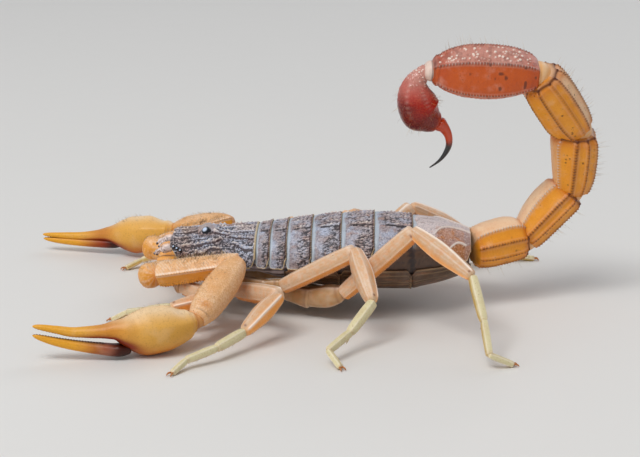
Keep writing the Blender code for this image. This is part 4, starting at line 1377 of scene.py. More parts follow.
def arm_patella_relief(spot):
    ends = spot.ends(0.6, 0.9)
    fine = spot.pebbles(0.12, 34)
    cloud = spot.clouds(0.9, 37)
    row = beads(spot.run, 0.24, spot.near * 0.3)
    sharp = spot.keel(0.1)
    lift = 0.025 * fine + ends * sharp * 0.02 * row
    dent = spot.short(1.15, 0.32) * spot.facing(120, 30)
    hinge = spot.short(0.55, 0.1) * spot.facing(130, 50)
    lift += -0.1 * dent - 0.04 * hinge + 0.1 * spot.short(0.36, 0.14) * spot.facing(140, 60)
    upper = ease(-10, 60, np.mod(spot.degrees + 90, 360) - 90) * spot.turned(265, 175)
    return lift, {
        # top: the upper faces painted pale as sky light.
        "top": upper * (0.95 - 0.6 * dent) * (0.62 + 0.25 * fine + 0.3 * cloud),
        "deep": held(0.6 * spot.turned(215, 260) * spot.turned(350, 310) + 0.6 * dent
                     + 0.25 * (1 - cloud)),
        "crest": 0.45 * fine * upper * cloud,
        "bead": held(0.35 * hinge + 0.35 * dent * fine + 0.16 * ease(0.35, 0.1, fine) * ends),
        "joint": 0.3 * spot.along(0.1, 0.25),
    }


def wrist_relief(spot):
    fold = beads(spot.run, 0.22)
    return 0.03 * fold, {"joint": 0.5 + 0.3 * fold, "deep": 0.3 + 0 * fold, "top": 0.3 + 0 * fold}


def hand_relief(spot):
    cloud = spot.clouds(1.4, 35)
    seam = spot.facing(92, 9) + 0.6 * spot.facing(160, 8) + 0.6 * spot.facing(28, 8)
    lift = 0.035 * seam * spot.past(0.6, 1.6) * spot.past(6.8, 5.0)
    lift += 0.05 * spot.along(0.75, 0.22) - 0.07 * spot.along(0.38, 0.16)
    lift -= 0.12 * spot.along(1.35, 0.45) * spot.facing(105, 28)
    lift += 0.1 * spot.along(2.3, 0.6) * spot.facing(92, 26)
    tooth = beads(spot.run, 0.23)
    biting = spot.past(7.0, 7.5) * spot.past(13.6, 13.0)
    lift += 0.045 * spot.facing(270, 15) * tooth * biting
    lift += 0.02 * beads(spot.run, 1.9, 0.4) * spot.facing(250, 12) * biting
    lower = spot.turned(190, 225) * spot.turned(350, 315)
    pit = spot.along(6.0, 1.25) * lower
    return lift, {
        # top: the hand's upper face painted pale as sky light.
        "top": spot.facing(100, 34) * spot.past(9.0, 4.6) * (0.5 + 0.5 * cloud),
        "deep": held(spot.turned(195, 262) * spot.turned(360, 290) * spot.past(1.0, 3.0)
                     + 0.5 * spot.along(7.4, 1.6)),
        "tip": 0.9 * spot.past(8.6, 10.6) + 0.4 * spot.along(7.4, 1.0) * spot.facing(190, 60),
        "root": held(0.95 * pit + 0.9 * spot.along(8.1, 1.7) * spot.turned(165, 235)
                     * spot.turned(365, 300) + 0.25 * spot.along(7.4, 1.0)),
        "bead": held(biting * spot.facing(270, 24) * (0.65 + 0.35 * tooth)
                     + 0.6 * spot.along(6.3, 0.35) * spot.facing(262, 40)),
        "joint": 0.6 * spot.past(0.42, 0.15),
    }


def finger_relief(spot):
    tooth = beads(spot.run, 0.23)
    biting = spot.past(1.9, 2.4) * spot.past(8.3, 7.8)
    lift = 0.05 * spot.facing(90, 16) * tooth * biting - 0.02 * spot.facing(180, 30)
    lift += 0.05 * spot.along(1.0, 0.25) * spot.facing(120, 70)
    return lift, {
        # top: a little painted sky light on the finger's upper face.
        "top": 0.15 * spot.facing(90, 50),
        "deep": 0.4 + 0.4 * spot.turned(180, 270),
        "tip": 0.9 * spot.past(2.6, 5.0),
        "root": spot.past(4.4, 1.6),
        "bead": held(biting * spot.facing(90, 26) * (0.65 + 0.35 * tooth) + 0.9 * spot.past(2.1, 0.8)
                     + 0.3 * spot.facing(270, 40) * spot.past(3.0, 1.5)),
        "joint": 0.0 * spot.run,
    }


# Turns of the femur's keels: the flat hairy face lies between the first two.
FEMUR_KEELS = (4, 128, 205, 292)


def build_arm(side, label, cuticle, amber):
    name, node = f"arm_{label}_", f"pedipalp_{label}_"
    joints = arm_joints(side, label)
    start, elbow, wrist, palm, _ = joints
    slim, spread = ARM_GIRTH[label], CLAW_SPREAD[label]
    knuckle, root = mirrored(KNUCKLES[label], side), mirrored(ARM_ROOT, side)
    towards = unit(start - knuckle)
    wide, high = KNUCKLE_SIZE
    girths = [(0.5, 0.5), (wide * 0.9, high * 0.9), (wide, high), (wide * 0.92, high * 0.92), (0.6, 0.66)]
    line = Line([knuckle + towards * reach for reach in (-1.02, -0.5, 0.0, 0.5, 1.02)], girths,
                level_side(towards))
    ball = limb(name + "knuckle", line, knuckle_relief, around=90, rings=64, side=side, sag=0.04,
                power=0.95, cap=0.5)
    line = Line([between(root, knuckle, share) for share in (0.0, 0.5, 0.95)],
                [(0.72, 0.8), (0.84, 0.96), (0.88, 1.0)], level_side(knuckle - root))
    stem = limb(name + "stem", line, knuckle_relief, around=60, rings=30, side=side, sag=0.02)
    line = Line([mirrored(place, side) for place in MOUTH_LOBE],
                [(0.5, 0.4), (0.62, 0.5), (0.56, 0.44), (0.3, 0.24)], ACROSS, supple=True)
    lobe = limb(name + "lobe", line, plain_relief, around=60, rings=40, side=side, sag=0.0)
    settle(joined(name + "knuckle", [ball, stem, lobe]), cuticle, [node + "trochanter"])

    line = bone(start, elbow, ARM_SHAPE, after=(0.25, 0.5, 0.55))
    piece = limb(name + "femur", line, femur_relief, around=168, rings=190, side=side,
                 corners=FEMUR_KEELS, sag=0.17, power=0.94)
    settle(piece, cuticle, [node + "femur"])

    line = bone(elbow, wrist, PATELLA_SHAPE, slim, before=(0.3, 0.42, 0.44))
    piece = limb(name + "patella", line, arm_patella_relief, around=168, rings=190, side=side,
                 corners=(35, 145, 215, 325), sag=0.015, power=1.0)
    settle(piece, cuticle, [node + "patella"])

    ahead = unit(palm - wrist)
    line = Line([wrist - unit(wrist - elbow) * 0.55, wrist, wrist + ahead * 0.5], [0.5, 0.66, 0.55],
                level_side(ahead))
    skin = limb(name + "wrist", line, wrist_relief, around=48, rings=30, side=side, sag=0.0, power=1.0)
    line = hand_line(joints, HAND_SHAPE, spread, slim)
    piece = limb(name + "hand", line, hand_relief, around=150, rings=300, side=side,
                 corners=(28, 92, 160, 270), sag=0.035, power=0.97, cap=0.2)
    settle(joined(name + "hand", [piece, skin]), amber, [node + "hand"])
    line = hand_line(joints, FINGER_SHAPE, spread, slim)
    piece = limb(name + "finger", line, finger_relief, around=110, rings=220, side=side, sag=0.03,
                 power=0.95)
    settle(piece, amber, [node + "movable_finger"])


# ---------------------------------------------------------------- legs

def leg_joints(side, label, number):
    points = [mirrored(COXAE[number][1], side)]
    lengths = LEG_LENGTHS[number]
    for length, (yaw, pitch) in zip(lengths[:-1], LEG_POSE[label, number]):
        points.append(points[-1] + direction(side, yaw, pitch) * length)
    drop = (FOOT_HEIGHT - points[-1][2]) / lengths[-1]
    yaw = LEG_POSE[label, number][-1][0]
    points.append(points[-1] + direction(side, yaw, math.degrees(math.asin(drop))) * lengths[-1])
    return points


def coxa_relief(spot):
    rough = spot.clouds(0.3, 41)
    crest = spot.keel(0.12)
    lift = 0.04 * crest * (0.5 + 0.5 * beads(spot.run, 0.3)) + 0.02 * rough
    streak = clouds(spot.points / np.array((2.0, 1.0, 1.0)), 0.4, 48)
    return lift, {"top": 0.55 + 0.3 * rough, "crest": 0.35 * crest + 0.3 * rough * streak,
                  "hip": 0.85 - 0.35 * streak,
                  "bead": 0.35 * spot.short(0.5, 0.12) + 0.25 * ease(0.6, 0.85, streak)}


def thigh_relief(spot):
    ends = spot.ends(0.4, 0.4)
    upper = spot.turned(325, 339) + spot.turned(224, 188)
    lines = ease(0.45, 0.8, beads(spot.degrees + 14 * spot.clouds(0.5, 49), 19))
    # light: a bright line on the upper keel, painted as a highlight.
    light = spot.keel(0.14) * (spot.near == 1)
    low = (spot.near == 3) | (spot.near == 4) | (spot.near == 5)
    edge = spot.near == 4
    fine = spot.pebbles(0.11, 42)
    streak = spot.clouds(0.22, 43)
    sharp = spot.keel(0.075)
    row = beads(spot.run, 0.2, spot.near * 0.31)
    wrinkle = spot.facing(20, 22) * ease(0.35, 0.6, spot.clouds(0.3, 44))
    lift = ends * sharp * (0.035 + 0.035 * row * low) + 0.012 * fine - 0.02 * wrinkle * upper
    lift += ends * 0.05 * fine * spot.keel(0.26) * edge
    # knee: the femur's far end, painted a little paler as a highlight.
    knee = spot.past(spot.length - 0.75, spot.length - 0.35)
    dot = spot.short(0.42, 0.1) * spot.facing(352, 14)
    dot = np.maximum(dot, spot.short(0.42, 0.1) * spot.facing(-8, 14))
    return lift, {
        # top: the upper faces painted pale as sky light.
        "top": held(upper) * (0.72 + 0.28 * streak),
        "deep": 0.5 * spot.turned(240, 280) * spot.turned(330, 300)
                + 0.16 * ease(0.5, 0.2, streak) * upper,
        "crest": held(ends * (sharp * (0.4 - 0.2 * low) + 1.0 * light)
                      + 0.12 * (wrinkle + lines * streak) * upper + 0.2 * knee),
        "bead": held(ends * edge * (0.75 * sharp * row + 0.6 * spot.keel(0.2) * ease(0.4, 0.8, fine))
                     + 0.8 * dot),
        "joint": 0.3 * spot.past(spot.length - 0.25, spot.length) + 0.2 * spot.past(0.3, 0.0),
    }


def knee_relief(spot, number):
    ends = spot.ends(0.5, 0.5)
    fine = spot.pebbles(0.1, 45)
    streak = spot.clouds(0.25, 46)
    sharp = spot.keel(0.07)
    row = beads(spot.run, 0.2, spot.near * 0.4)
    signed = np.mod(spot.degrees + 120, 360) - 120
    # The upper faces are painted pale as sky light and the keels that face the light as bright highlight
    # lines; leg 4's patella lies another way, so its faces and keels differ.
    if number == 4:
        upper = ease(-30, 10, signed) * ease(224, 172, signed)
        light = spot.keel(0.14) * (spot.near == 1)
    else:
        upper = ease(-60, -30, signed) * ease(158, 110, signed)
        light = spot.keel(0.14) * ((spot.near == 2) | (spot.near == 4))
    lift = ends * sharp * (0.035 + 0.03 * row) + 0.012 * fine
    lines = ease(0.5, 0.8, beads(spot.degrees + 12 * streak, 22)) * ease(0.3, 0.7, streak)
    dot = spot.short(0.35, 0.11) * hump(signed, 60 if number == 4 else 100, 13)
    return lift, {
        "top": upper * (0.75 + 0.25 * streak),
        "deep": 0.4 * spot.turned(235, 270) * spot.turned(345, 320)
                + 0.16 * ease(0.5, 0.2, streak) * upper,
        "crest": held(ends * (0.35 * sharp + 0.95 * light) + 0.16 * lines * upper),
        "bead": held(0.9 * dot + 0.35 * ends * sharp * row * (spot.near == 3)),
        "joint": 0.5 * spot.past(spot.length - 0.3, spot.length),
    }


def shin_relief(spot):
    sharp = spot.keel(0.05)
    streak = spot.clouds(0.16, 47)
    end = spot.short(0.12, 0.14)
    lift = 0.025 * sharp + 0.008 * streak + 0.03 * end
    return lift, {
        # top: the upper faces painted pale as sky light.
        "top": spot.turned(0, 40) * spot.turned(225, 190),
        "deep": 0.15 * streak,
        "crest": 0.45 * sharp,
        "bead": 0.3 * end * spot.facing(165, 25),
        "joint": 0.3 * end,
    }


def build_leg(side, label, number, cuticle, foot):
    """Builds a leg's pieces and returns its pair of foot claws, to be joined with the others."""
    hip, ankle, knee, shin, heel, toe, tip = leg_joints(side, label, number)
    inner = mirrored(COXAE[number][0], side)
    thigh, calf, *feet = LEG_GIRTH[number]
    thick = COXA_GIRTH[number]
    name = f"leg_{label}_{number}_"

    line = Line([inner, between(inner, hip, 0.55), hip], [(0.34, 0.45), (0.5, 0.58), (thick * 0.9, thick)],
                level_side(hip - inner))
    coxa = limb(name + "coxa", line, coxa_relief, around=56, rings=60, side=side)
    girths = [(thick * 0.72, thick * 0.8), (thick * 0.95, thick * 1.02), (thigh[0] * 0.85, thigh[1] * 0.8)]
    line = Line([between(hip, inner, 0.08), between(hip, ankle, 0.5), between(hip, ankle, 1.05)], girths,
                level_side(ankle - hip))
    trochanter = limb(name + "trochanter", line, coxa_relief, around=56, rings=50, side=side)
    line = bone(ankle, knee, FEMUR_SWELL, thigh, before=(0.2, thigh[0] * 0.7, thigh[1] * 0.6),
                after=(0.15, thigh[0] * 0.6, thigh[1] * 0.5), sideways=level_side(knee - hip))
    femur = limb(name + "upper", line, thigh_relief, around=120, rings=int(span(ankle, knee) * 22),
                 side=side, corners=(60, 120, 200, 240, 285, 332), sag=0.07, power=0.96)
    settle(joined(name + "upper", [femur, trochanter, coxa]), cuticle, [name + "upper"])

    line = bone(knee, shin, KNEE_SWELL, calf, before=(0.2, calf[0] * 0.55, calf[1] * 0.4))
    patella = limb(name + "patella", line, lambda spot: knee_relief(spot, number), around=110,
                   rings=int(span(knee, shin) * 22), side=side, corners=(40, 90, 150, 205, 270, 330),
                   sag=0.055, power=0.98)
    settle(patella, cuticle, [name + "patella"])

    pieces = []
    across = level_side(heel - shin if np.linalg.norm((heel - shin)[:2]) > 0.5 else tip - toe)
    for part, (a, b, girth) in enumerate(zip((shin, heel, toe), (heel, toe, tip), feet)):
        ahead = unit(b - a)
        narrow = (0.62, 0.74, 0.8)[part]
        stations = [a - ahead * 0.14, a + ahead * 0.1, between(a, b, 0.3), between(a, b, 0.85),
                    b + ahead * 0.06]
        shares = [(0.6, 0.6), (0.86, 0.9), (1, 1), (0.93, 0.92), (narrow, narrow)]
        line = Line(stations, np.multiply(shares, girth), across)
        pieces.append(limb(name + f"shin_{part}", line, shin_relief, around=64, rings=56, side=side,
                           corners=(50, 130, 210, 330), sag=0.07, power=0.95, cap=0.18))
    if number > 2:
        spur = unit(heel - shin) * 0.25 - UP * 0.12
        root = heel - UP * feet[0][1] * 0.7
        line = Line([root, root + spur, root + spur * 2.2 + UP * 0.05], [0.07, 0.05, 0.02], across)
        pieces.append(limb(name + "spur", line, plain_relief, around=10, rings=10))
    settle(joined(name + "foot", pieces), foot, [name + "foot"])

    ahead = unit(np.array((tip[0] - toe[0], tip[1] - toe[1], 0.0)))
    hooks = []
    for turn in (-1, 1):
        wide = level_side(ahead) * turn
        line = Line([tip + ahead * on + wide * out + UP * up for on, out, up, _ in HOOK],
                    [row[3] for row in HOOK], ahead, supple=True)
        hooks.append(limb(name + f"hook_{turn + 1}", line, plain_relief, around=14, rings=18, cap=0.06))
    return joined(name + "hooks", hooks)


def span(start, stop):
    return float(np.linalg.norm(stop - start))


# ---------------------------------------------------------------- tail

# Turns of each segment's keels, and where its outer face begins, which is painted pale as sky light where
# it faces up.
TAIL_KEELS = {
    1: (9, 44, 136, 171, 203, 235, 262, 278, 305, 337),
    2: (5, 44, 136, 175, 201, 240, 300, 339),
    3: (0, 40, 140, 180, 209, 243, 297, 331),
    4: (21, 66, 114, 159, 194, 219, 255, 285, 321, 346),
    5: (40, 140, 207, 270, 333),
}
OUTER_FACES = {1: 250, 2: 240, 3: 240, 4: 217, 5: 205}


def tail_joints():
    points = [np.array(TAIL_ROOT)]
    for length, yaw, pitch in TAIL:
        points.append(points[-1] + direction(1, yaw, pitch) * length)
    return points


def tail_relief(number):
    last = number == 5
    keels = np.array(TAIL_KEELS[number], float)
    pitch = 0.25 if last else 0.27
    face = OUTER_FACES[number]

    def relief(spot):
        angle = keels[spot.near]
        back = (angle > 30) & (angle < 150)
        pale_back = back & (number < 4)
        ends = ease(0.02, 0.09, spot.share) * ease(0.985, 0.93, spot.share)
        row = beads(spot.run, pitch, spot.near * 0.37)
        place = np.floor(spot.run / pitch + spot.near * 0.37).astype(np.int64)
        own = chances(np.stack([place, spot.near, 0 * spot.near], axis=1), number)[:, 0]
        sharp = spot.keel(0.085)
        fine = spot.pebbles(0.14, 50 + number)
        coarse = spot.pebbles(0.34, 55 + number, fill=0.58)
        outer = spot.turned(face - 3, face + 3) * spot.turned(543 - face, 537 - face)
        upper = spot.turned(38, 48) * spot.turned(142, 132)
        strong = np.where(back, 1.5 - 0.18 * number, 1.0)
        faint = np.where((number == 4) & ((angle == 194) | (angle == 346)), 0.45, 1.0)
        rise = 0.05 + 0.1 * row * (0.6 + 0.4 * own)
        lift = ends * sharp * rise * strong * faint + 0.012 * fine
        knob = coarse * ease(0.12, 0.35, spot.away) * ends
        lift += knob * (0.02 if number < 4 else 0.035) + 0.08 * knob * outer * last
        lift += 0.05 * spot.at(0.955, 0.022) - 0.07 * spot.at(0.925, 0.014)
        lift += 0.03 * spot.at(0.04, 0.02)

        dots = ends * spot.keel(0.105) * faint * (0.55 + 0.45 * ease(0.3, 0.8, row)) * (0.7 + 0.3 * own)
        crest = ends * np.where(pale_back, sharp * ease(0.2, 0.7, row), 0.0)
        scatter = ease(0.55, 0.8, knob) * ease(0.5, 0.75, spot.clouds(0.9, 65)) * (1 - upper)
        rim = spot.at(0.945, 0.026) + 0.6 * spot.at(0.995, 0.012)
        blots = 0.0
        if last:
            crest = crest + ends * sharp * ease(0.7, 0.9, row) * 0.8 + ease(0.35, 0.65, knob) * outer
            dots = dots * (1 - 0.5 * ease(0.7, 0.9, row))
            scatter = 0.0
            rim = 0.5 * spot.at(0.97, 0.012)
            blots = ease(0.79, 0.87, spot.clouds(0.42, 77)) * (1 - outer)
            blots = blots + 0.4 * outer * ease(0.45, 0.75, spot.clouds(0.3, 78)) * (1 - knob)
        dots = dots * np.where(pale_back, 0.25, 1.0)
        edge = hump(spot.away, 0.19, 0.05) * 0.12 * ends
        beside = spot.keel(0.34) * ends * (1 - upper) * np.where(pale_back, 0.5, 1.0)
        # pale: the faces that look up in this pose, the back of the first segments and the outer face of
        # the last ones, painted pale as sky light.
        pale = (0.9, 0.85, 0.35, 0.0, 0.0)[number - 1] * upper + (0, 0, 0.5, 0.85, 0.95)[number - 1] * outer
        deep = 0.35 * spot.clouds(0.8, 60 + number) + 0.7 * spot.at(0.9, 0.07)
        deep = deep + 0.45 * spot.at(0.08, 0.06) + 0.45 * beside
        return lift, {
            "top": held(pale),
            "deep": held(deep),
            "crest": held(crest + edge),
            "bead": held(dots + 0.85 * rim * (1 - 0.5 * upper) + 0.8 * scatter + 0.8 * blots),
            "joint": 0.3 * ease(0.03, 0.0, spot.share),
        }
    return relief


def pleat_relief(spot):
    fold = beads(spot.run, 0.16)
    return 0.03 * fold, {"joint": 0.35 + 0.3 * fold, "deep": 0.4 + 0 * fold}


def soft_end_relief(spot):
    fold = beads(spot.run, 0.2)
    return 0.02 * fold, {"crest": 0.7 + 0 * fold, "bead": 0.6 * spot.past(0.66, 0.5), "top": 1.0 + 0 * fold}


def build_tail(cuticle, last_cuticle):
    joints = tail_joints()
    for number, shape in enumerate(TAIL_SHAPES, start=1):
        a, b = joints[number - 1], joints[number]
        ahead = unit(b - a)
        first, final = np.array(shape[0][1:]), np.array(shape[-1][1:])
        line = bone(a, b, shape, before=(0.12, *first * 0.93), after=(0.12, *final * 0.95), sideways=ACROSS)
        piece = limb(f"tail_{number}", line, tail_relief(number), around=230, rings=int(line.length * 34),
                     corners=TAIL_KEELS[number], sag=0.085 if number < 5 else 0.11, power=0.88, cap=0.34)
        if number < 5:
            after = unit(joints[number + 1] - b)
            wide, back, under = final * (0.86 if number < 4 else 0.8)
            thin = (wide, back * 0.9, under * 0.9)
            line = Line([b - ahead * 0.5, b, b + after * 0.6], [thin, (wide, back, under), thin], ACROSS)
            skin = limb(f"tail_pleat_{number}", line, pleat_relief, around=90, rings=46, sag=0.0, power=0.9)
        else:
            girths = [(0.92, 0.8, 0.88), (0.98, 0.82, 0.88), (0.9, 0.66, 0.72), (0.5, 0.36, 0.4)]
            line = Line([b + ahead * reach for reach in (-0.5, 0.1, 0.45, 0.72)], girths, ACROSS)
            skin = limb("tail_pad_5", line, soft_end_relief, around=90, rings=46, sag=0.0, power=1.0,
                        cap=0.35)
        slot, finish = ("tail", cuticle) if number < 5 else ("tail_end", last_cuticle)
        settle(joined(f"tail_{number}", [piece, skin]), finish, [f"tail_segment_{number}"])


def bulb_relief(spot):
    rough = spot.pebbles(0.16, 71)
    coarse = spot.pebbles(0.4, 72, fill=0.4)
    knob = spot.pebbles(0.24, 73)
    neck = ease(0.3, 0.17, spot.share)
    crest = hump(np.mod(spot.degrees, 60), 30, 7) * ease(0.2, 0.3, spot.share) * ease(0.75, 0.5, spot.share)
    lift = 0.014 * rough + 0.035 * coarse * ease(0.85, 0.6, spot.share)
    lift += 0.03 * crest * beads(spot.run, 0.35)
    lift += 0.09 * neck * knob
    under = spot.clouds(0.9, 74)
    # low: the underside of the bulb, painted deep maroon as shade.
    low = ease(19.6, 16.6, spot.points[:, 2] + 0.35 * (spot.points[:, 0] - 13.0))
    return lift, {
        # warm: the upper part painted paler as light from above.
        "warm": 0.55 * ease(18.2, 19.8, spot.points[:, 2]) * (0.5 + 0.5 * under),
        "deep": held(ease(0.5, 0.85, under) * 0.3 + 0.95 * low),
        "neck": neck * (1 - 0.4 * knob),
        "crest": held(0.12 * crest * beads(spot.run, 0.35) + neck * ease(0.5, 0.85, knob)),
        "root": 0.8 * ease(0.9, 0.98, spot.share),
    }


def sting_relief(spot):
    return 0.0 * spot.run, {"tip": spot.share}


def build_stinger(bulb, black):
    girths = [(row[3] * 0.95, row[3], row[3]) for row in VESICLE]
    line = Line([row[:3] for row in VESICLE], girths, ACROSS, supple=True)
    piece = limb("venom_bulb", line, bulb_relief, around=160, rings=220, sag=0.0, power=1.0, cap=0.3)
    settle(piece, bulb, ["vesicle"])
    root = unit(np.array(STING[0][:3]) - np.array(STING[1][:3])) * 0.25
    stations = [np.array(STING[0][:3]) + root] + [row[:3] for row in STING]
    line = Line(stations, [0.5] + [row[3] for row in STING], ACROSS, supple=True)
    piece = limb("sting", line, sting_relief, around=64, rings=120, sag=0.0, power=1.0, cap=0.12)
    settle(piece, black, ["sting"])


# ---------------------------------------------------------------- bristles

# Bristles of a limb's parts: how many, length, lean towards the tip, then the turns they grow between and,
# where they don't grow all along, the shares of length.
TAIL_BRISTLES = [(part, amount, 0.85, 0.3, (200, 340))
                 for part, amount in (("1", 16), ("2", 40), ("3", 60), ("4", 60), ("5", 50))]
BULB_BRISTLES = [("bulb", 90, 0.55, 0.4, (0, 360, 0.2, 0.85))]
ARM_BRISTLES = [
    ("femur", 420, 0.5, 0.5, (20, 125)),
    ("patella", 220, 0.3, 0.5, (20, 130)),
    ("knuckle", 130, 0.3, 0.6, (30, 160)),
    ("hand", 70, 0.35, 0.5, (60, 130, 0.05, 0.45)),
]
LEG_BRISTLES = [
    ("upper", 90, 0.2, 0.7, (200, 60)),
    ("patella", 60, 0.2, 0.7, (150, 330)),
    ("shin_0", 40, 0.2, 0.6, (180, 360)),
    ("shin_1", 46, 0.2, 0.6, (180, 360)),
    ("shin_2", 40, 0.16, 0.6, (180, 360)),
]
# Depth of a bristle's root, the share of girth lost at its tip, and its place on the map: margin and size.
ROOT_DEPTH = 0.04
TAPER = 0.75
MAP_MARGIN = 0.01
MAP_PATCH = (0.0015, 0.003)


def bristle_shape(rings):
    """One bristle of unit length along Z with three sides, thinning to its tip: corners and triangles."""
    turns = [math.tau * k / 3 for k in range(3)]
    corners = [(math.cos(turn), math.sin(turn), ring / rings) for ring in range(rings) for turn in turns]
    tip = len(corners)
    faces = []
    for a in range(tip):
        b = a - a % 3 + (a + 1) % 3
        faces.extend([(a, b, b + 3), (a, b + 3, a + 3)] if a < tip - 3 else [(a, b, tip)])
    return np.array(corners + [(0.0, 0.0, 1.0)]), np.array(faces)


def bristle_rows(name, skins, seed, finish):
    """Fine bristles rooted in several skins, leaning along the lie, as one piece of solid mesh."""
    rng = np.random.default_rng(seed)
    girth = looks("bristles").girth / MM
    shape, faces = bristle_shape(3)
    all_points, all_faces, all_maps = [], [], []
    count = 0
    tiles = math.ceil(math.sqrt(len(skins)))
    for tile, (skin_name, amount, length, lean, where) in enumerate(skins):
        skin = SKINS[skin_name]
        wanted = where(skin)
        chosen = rng.choice(len(wanted), size=amount, p=wanted / wanted.sum())
        root = skin.points[chosen]
        out = unit(root - skin.centre[chosen])
        lie = unit(skin.ahead - out * (out @ skin.ahead)[:, None])
        lie = unit(lie + rng.normal(0, 0.25, (amount, 3)))
        sweep_to = unit(out * (1 - lean) + lie * lean)
        long = length * rng.uniform(0.6, 1.15, amount)
        thin = girth * rng.uniform(0.75, 1.15, amount)
        sideways = unit(np.cross(out, sweep_to) + 1e-4)
        over = np.cross(sweep_to, sideways)
        root, out, sweep_to, sideways, over = (v[:, None, :] for v in (root, out, sweep_to, sideways, over))
        x, y, z = (column[None, :, None] for column in shape.T)
        long, thick = long[:, None, None], thin[:, None, None] * (1 - TAPER * z)
        points = root - out * ROOT_DEPTH + out * (long * z * 0.55 * (1 - lean))
        points = points + sweep_to * (long * z * (0.45 + 0.55 * z))
        points = points + sideways * thick * x + over * thick * y
        all_points.append(points.reshape(-1, 3))
        starts = count + np.arange(amount) * len(shape)
        all_faces.append((faces[None, :, :] + starts[:, None, None]).reshape(-1, 3))
        count += amount * len(shape)
        place = np.stack([skin.share[chosen], skin.turn[chosen] / math.tau], axis=1)
        place = place * (1 - 2 * MAP_MARGIN) + MAP_MARGIN
        place = (place + np.array((tile % tiles, tile // tiles))) / tiles
        patch = np.stack([shape[:, 0] * MAP_PATCH[0], (shape[:, 2] - 0.5) * MAP_PATCH[1]], axis=1)
        all_maps.append((place[:, None, :] + patch[None, :, :]).reshape(-1, 2))
    points = (np.concatenate(all_points) - OFFSET) * MM
    points[:, 2] = np.maximum(points[:, 2], 0.0)
    triangles = np.concatenate(all_faces)
    spots = np.concatenate(all_maps)
    mesh = bpy.data.meshes.new(name)
    mesh.from_pydata(points.tolist(), [], triangles.tolist())
    layer = mesh.uv_layers.new(name="OFBake")
    corner = np.zeros(len(mesh.loops), np.int32)
    mesh.loops.foreach_get("vertex_index", corner)
    layer.data.foreach_set("uv", np.clip(spots[corner], 0.0, 1.0).astype(np.float32).ravel())
    piece = bpy.data.objects.new(name, mesh)
    bpy.context.scene.collection.objects.link(piece)
    select_only(piece)
    bpy.ops.object.shade_smooth()
    settle(piece, finish)


def on_turn(low, high, start=0.08, stop=0.92):
    """Weight for rooting bristles on part of a limb: between two turns, away from its ends."""
    def weigh(skin):
        turn = np.degrees(skin.local)
        inside = (turn > low) & (turn < high) if low < high else (turn > low) | (turn < high)
        ends = (skin.share > start) & (skin.share < stop)
        return (inside & ends) * np.sin(skin.share * math.pi) + 1e-9
    return weigh


def planted(limb_name, rows):
    return [(limb_name + part, *facts, on_turn(*where)) for part, *facts, where in rows]


def build_bristles(pale, dark):
    bristle_rows("bristles_tail", planted("tail_", TAIL_BRISTLES), 3, dark)
    bristle_rows("bristles_bulb", planted("venom_", BULB_BRISTLES), 4, dark)
    for side, label in SIDES:
        skins = planted(f"arm_{label}_", ARM_BRISTLES)
        bristle_rows("bristles_arm_" + label, skins, 5 + side, pale)
        skins = [row for number in LEG_LENGTHS for row in planted(f"leg_{label}_{number}_", LEG_BRISTLES)]
        bristle_rows("bristles_legs_" + label, skins, 15 + side, pale)


# ---------------------------------------------------------------- stage

# Soft lights in metres: name, place, width, height, share of the main light's power, and colour.
LIGHTS = (
    ("main_light", (-0.12, -0.2, 0.42), 0.25, 0.22, 1.0, (1.0, 0.98, 0.95)),
    ("spark_light", (-0.19, -0.17, 0.33), 0.11, 0.09, 0.26, (0.86, 0.93, 1.0)),
    ("side_light", (-0.36, -0.26, 0.16), 0.24, 0.2, 0.22, (1.0, 0.98, 0.96)),
    ("back_light", (0.24, 0.32, 0.26), 0.24, 0.2, 0.3, (0.92, 0.96, 1.0)),
)
LIGHT_AIM = (0.0, 0.0, 0.008)
SKY_COLOUR = (0.93, 0.95, 1.0, 1.0)
FLOOR_SIZE = 1.6
# Camera: turn and climb in degrees, distance, aim and film width in millimetres, then the nearest and the
# farthest that it sees in metres.
CAMERA_TURN, CAMERA_CLIMB = 1.72, 16.4
CAMERA_REACH = 156.0
CAMERA_AIM = (4.86, 6.66)
FILM_WIDTH = 36.0
CAMERA_CLIP = (0.01, 10.0)


def faced(away):
    """The turn of a light or a camera that looks along a direction."""
    return Vector(away).to_track_quat("-Z", "Y").to_euler()


def soft_light(name, place, width, height, power, colour):
    bpy.ops.object.light_add(type="AREA", location=place)
    light = bpy.context.object
    light.name = name
    light.data.shape = "RECTANGLE"
    light.data.size = width
    light.data.size_y = height
    light.data.energy = power
    light.data.color = colour
    light.rotation_euler = faced(Vector(LIGHT_AIM) - Vector(place))


def build_stage():
    stage = looks("stage")
    bpy.ops.object.select_all(action="DESELECT")
    bpy.ops.mesh.primitive_plane_add(size=FLOOR_SIZE)
    floor = bpy.context.object
    floor.name = "floor"
    floor.data.name = "floor"
    floor.data.materials.append(floor_finish())
    for name, place, width, height, share, colour in LIGHTS:
        soft_light(name, place, width, height, stage.key * share, colour)
    world = bpy.context.scene.world or bpy.data.worlds.new("World")
    bpy.context.scene.world = world
    world.use_nodes = True
    background = world.node_tree.nodes["Background"]
    background.inputs["Color"].default_value = SKY_COLOUR
    background.inputs["Strength"].default_value = stage.fill

    turn, climb = math.radians(CAMERA_TURN), math.radians(CAMERA_CLIMB)
    aside, up = CAMERA_AIM
    target = np.array((aside * math.cos(turn), aside * math.sin(turn), up))
    back = np.array((math.sin(turn) * math.cos(climb), -math.cos(turn) * math.cos(climb), math.sin(climb)))
    bpy.ops.object.camera_add(location=(target + back * CAMERA_REACH - OFFSET) * MM)
    camera = bpy.context.object
    camera.name = "camera"
    camera.data.lens = stage.lens
    camera.data.sensor_width = FILM_WIDTH
    camera.data.clip_start, camera.data.clip_end = CAMERA_CLIP
    camera.rotation_euler = faced(-back)
    bpy.context.scene.camera = camera
    bpy.context.scene.view_settings.view_transform = "Standard"


# ---------------------------------------------------------------- operators, panel and run

